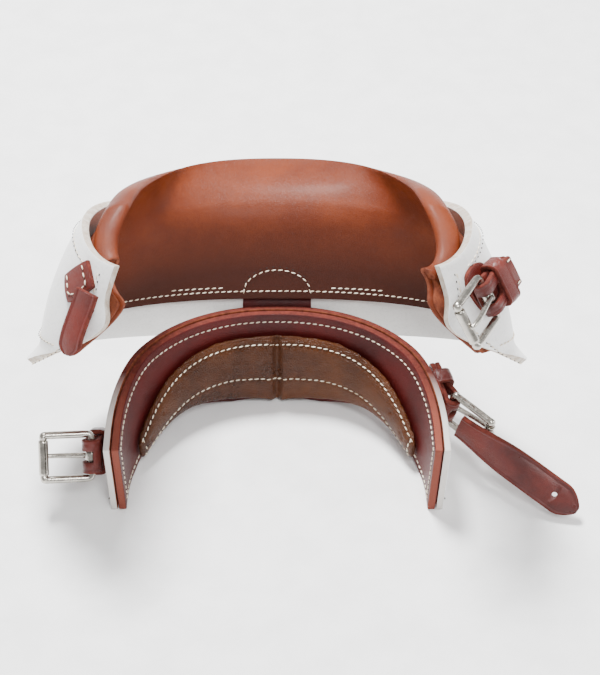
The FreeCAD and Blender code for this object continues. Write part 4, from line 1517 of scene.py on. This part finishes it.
@dataclass
class BandStrap:
    """The free strap that leaves the band's right buckle, twisting as it goes, with a pointed end."""

    finishes: Finishes
    buckle: Buckle
    end: tuple[float, float, float] = (114.0, -69.5, 4.0)
    end_across: tuple[float, float, float] = (0.5, 0.44, 0.74)
    thickness: float = 2.1
    point: float = 8.0

    def station(self, share: float, depth: float = 0.0) -> tuple[Vector, Vector, Vector, Vector]:
        """Centre, along, across and outward directions at a share of the length."""
        reach = self.buckle.reach
        start, knee = self.buckle.raised(0, reach - 10, -3.3), self.buckle.raised(0, reach + 16, -3.3)
        end = Vector(self.end) * MM

        def curve(t: float) -> Vector:
            """The parabola through the strap's guide points."""
            return start * (1 - t) ** 2 + knee * (2 * t * (1 - t)) + end * t ** 2

        along = (curve(share + 0.01) - curve(share - 0.01)).normalized()
        blend = smooth(share * 1.6)
        across = self.buckle.x * (1 - blend) + Vector(self.end_across) * blend
        across = (across - along * across.dot(along)).normalized()
        outward = along.cross(across)
        return curve(share) + outward * (depth * MM), along, across, outward

    def build(self) -> None:
        """Builds the strap, its hole and its pointed end."""
        shares = spread(90, 0, 0.86) + spread(30, 0.865, 1.0)
        steps = zip(shares, shares[1:])
        length = sum((self.station(b)[0] - self.station(a)[0]).length for a, b in steps) / MM
        stations = []
        for share in shares:
            centre, _, across, outward = self.station(share, self.thickness / 2)
            left = (1 - share) * length
            half = 6.35
            if left <= self.point:
                half = 1.2 + 5.15 * math.sin(0.5 * math.pi * left / self.point) ** 0.8
            stations.append(Station(centre, across, outward, half))
        leather = [self.finishes.strap, self.finishes.raw_dark]
        piece = ribbon("band_strap_leather", stations, self.thickness, leather)
        share = 1 - (self.point + 2) / length
        centre, _, _, outward = self.station(share, self.thickness / 2)
        path = [centre - outward * 4 * MM, centre + outward * 4 * MM]
        carve(piece, [tube("drill", path, [1.05, 1.05], self.finishes.raw_dark, sides=28)])
        finish_piece(piece, "strap", Slot.STRAP, ["band_strap"])


@dataclass
class WingBillet:
    """The folded tab on the left wing and the short strap that hangs from it."""

    finishes: Finishes
    sewing: Sewing
    cup: Cup
    tab_angle: float = -119.5
    tab_height: float = 28.0
    angle: float = -128.0

    def above(self, lift: float) -> Callable[[float, float], Vector]:
        """The surface a lift in millimetres above the shell's outside."""
        return lambda angle, z: self.cup.shell_surface(angle, z, CUP.shell + lift)

    def build(self) -> None:
        """Builds the tab, its sewing and the strap."""
        rows = laid_grid(self.above(0.95), self.tab_angle, self.tab_height, 12.5, 12.0, -38, 0.06)
        leather = [self.finishes.strap] * 2 + [self.finishes.raw_dark]
        piece = leather_sheet("wing_tab", rows, 1.8, leather)
        finish_piece(piece, "cup", Slot.STRAP, ["wing_patch"])
        grid = laid_grid(self.above(1.95), self.tab_angle, self.tab_height, 8.0, 7.5, -38, 0.02)
        path = [row[0] for row in reversed(grid)] + list(grid[0][1:-1]) + [row[-1] for row in grid]
        normal = (grid[6][12] - grid[6][0]).cross(grid[12][6] - grid[0][6]).normalized()
        if normal.dot(grid[6][6] - CUP.place(Vector((0, -40, 28)))) < 0:
            normal = -normal
        self.sewing.add("cup", path, [normal] * len(path), 0.05)
        stations = []
        for share in spread(60, 0, 1):
            z = 25.9 - 22.9 * share
            stand = CUP.shell + 3.4 + 1.2 * smooth((share - 0.15) * 1.6)
            centre = self.cup.shell_surface(self.angle + 1.5 * share, z, stand)
            ahead = self.cup.shell_surface(self.angle + 1.5 * share + 1, z, stand)
            under = self.cup.shell_surface(self.angle + 1.5 * share, z - 1, stand)
            along = (under - centre).normalized()
            across = (ahead - centre).normalized()
            across = (across - along * across.dot(along)).normalized()
            outward = along.cross(across)
            if outward.dot(centre - CUP.place(Vector((0, -40, z)))) < 0:
                across, outward = -across, -outward
            left = (1 - share) * 22.9
            half = 4.8 if left > 4 else 1.5 + 3.3 * math.sin(0.5 * math.pi * left / 4) ** 0.7
            stations.append(Station(centre, across, outward, half))
        strap = ribbon("billet_leather", stations, 2.0, [self.finishes.strap, self.finishes.raw_dark])
        finish_piece(strap, "billet", Slot.STRAP, ["wing_billet"])


# ---------------------------------------------------------------- studio

@dataclass(frozen=True)
class Studio:
    """Pale floor, soft lights and the camera."""

    distance: float = 0.7
    elevation: float = 41.0
    lens: float = 105.0
    shift: tuple[float, float] = (0.0383, -0.0625)

    def floor(self, material: bpy.types.Material) -> None:
        """The floor."""
        verts = [Vector((x, y, -0.0002)) for x, y in ((-4, -4), (4, -4), (4, 4), (-4, 4))]
        floor = new_object("floor", verts, [(0, 1, 2, 3)], [material])

    def light(self, name: str, place: tuple[float, float, float], size: float, power: float) -> None:
        """One soft lamp that faces the object."""
        lamp = bpy.data.lights.new(name, "AREA")
        lamp.shape = "DISK"
        lamp.size = size
        lamp.energy = power
        holder = bpy.data.objects.new(name, lamp)
        holder.location = place
        holder.rotation_euler = (Vector((0, -0.02, 0.06)) - Vector(place)).to_track_quat("-Z", "Y").to_euler()
        bpy.context.scene.collection.objects.link(holder)

    def camera(self) -> None:
        """The camera at the photograph's angle."""
        data = bpy.data.cameras.new("camera")
        data.lens = self.lens
        data.sensor_fit = "HORIZONTAL"
        data.sensor_width = 36
        data.shift_x, data.shift_y = self.shift
        turn = math.radians(self.elevation)
        eye = HINGE + Vector((0, -math.cos(turn), math.sin(turn))) * self.distance
        holder = bpy.data.objects.new("camera", data)
        holder.location = eye
        holder.rotation_euler = (HINGE - eye).to_track_quat("-Z", "Y").to_euler()
        bpy.context.scene.collection.objects.link(holder)
        bpy.context.scene.camera = holder

    def build(self, material: bpy.types.Material) -> None:
        """Sets the stage."""
        self.floor(material)
        world = bpy.data.worlds.new("studio")
        world.use_nodes = True
        world.node_tree.nodes["Background"].inputs["Color"].default_value = (1, 1, 1, 1)
        world.node_tree.nodes["Background"].inputs["Strength"].default_value = 0.62
        bpy.context.scene.world = world
        self.light("key", (-0.15, 0.38, 1.0), 0.32, 36.0)
        self.light("front", (0.2, -0.7, 1.0), 0.4, 9.0)
        self.light("right", (0.9, -0.1, 0.5), 0.4, 3.0)
        self.camera()


def main() -> None:
    """Builds every sub-assembly in order."""
    logging.basicConfig(level=logging.INFO, format="%(name)s: %(message)s")
    finishes = Finishes()
    sewing = Sewing(finishes)
    cup = Cup(finishes, sewing)
    cup.build()
    HingeLeather(finishes).build()
    band = Band(finishes, sewing)
    band.build()
    Pad(finishes, sewing).build()
    wing_base = laid_grid(lambda a, z: cup.shell_surface(a, z, CUP.shell + 1.0), 115.5, 24.5, 15.5, 19, -24)
    left_base = laid_grid(lambda s, z: band.surface(s / 100, z, -1.0), -86, 17.5, 19, 14.5, 35)
    right_base = laid_grid(lambda s, z: band.surface(s / 100, z, -1.0), 68, 27.5, 19, 14.5, 15)
    Buckle(finishes, sewing, "wing", "cup", 12, wing_base).build()
    Buckle(finishes, sewing, "band_left", "band", 80, left_base).build()
    right = Buckle(finishes, sewing, "band_right", "band", 34, right_base)
    right.build()
    BandStrap(finishes, right).build()
    WingBillet(finishes, sewing, cup).build()
    sewing.lay()
    Studio().build(finishes.floor)


if __name__ == "__main__":
    main()
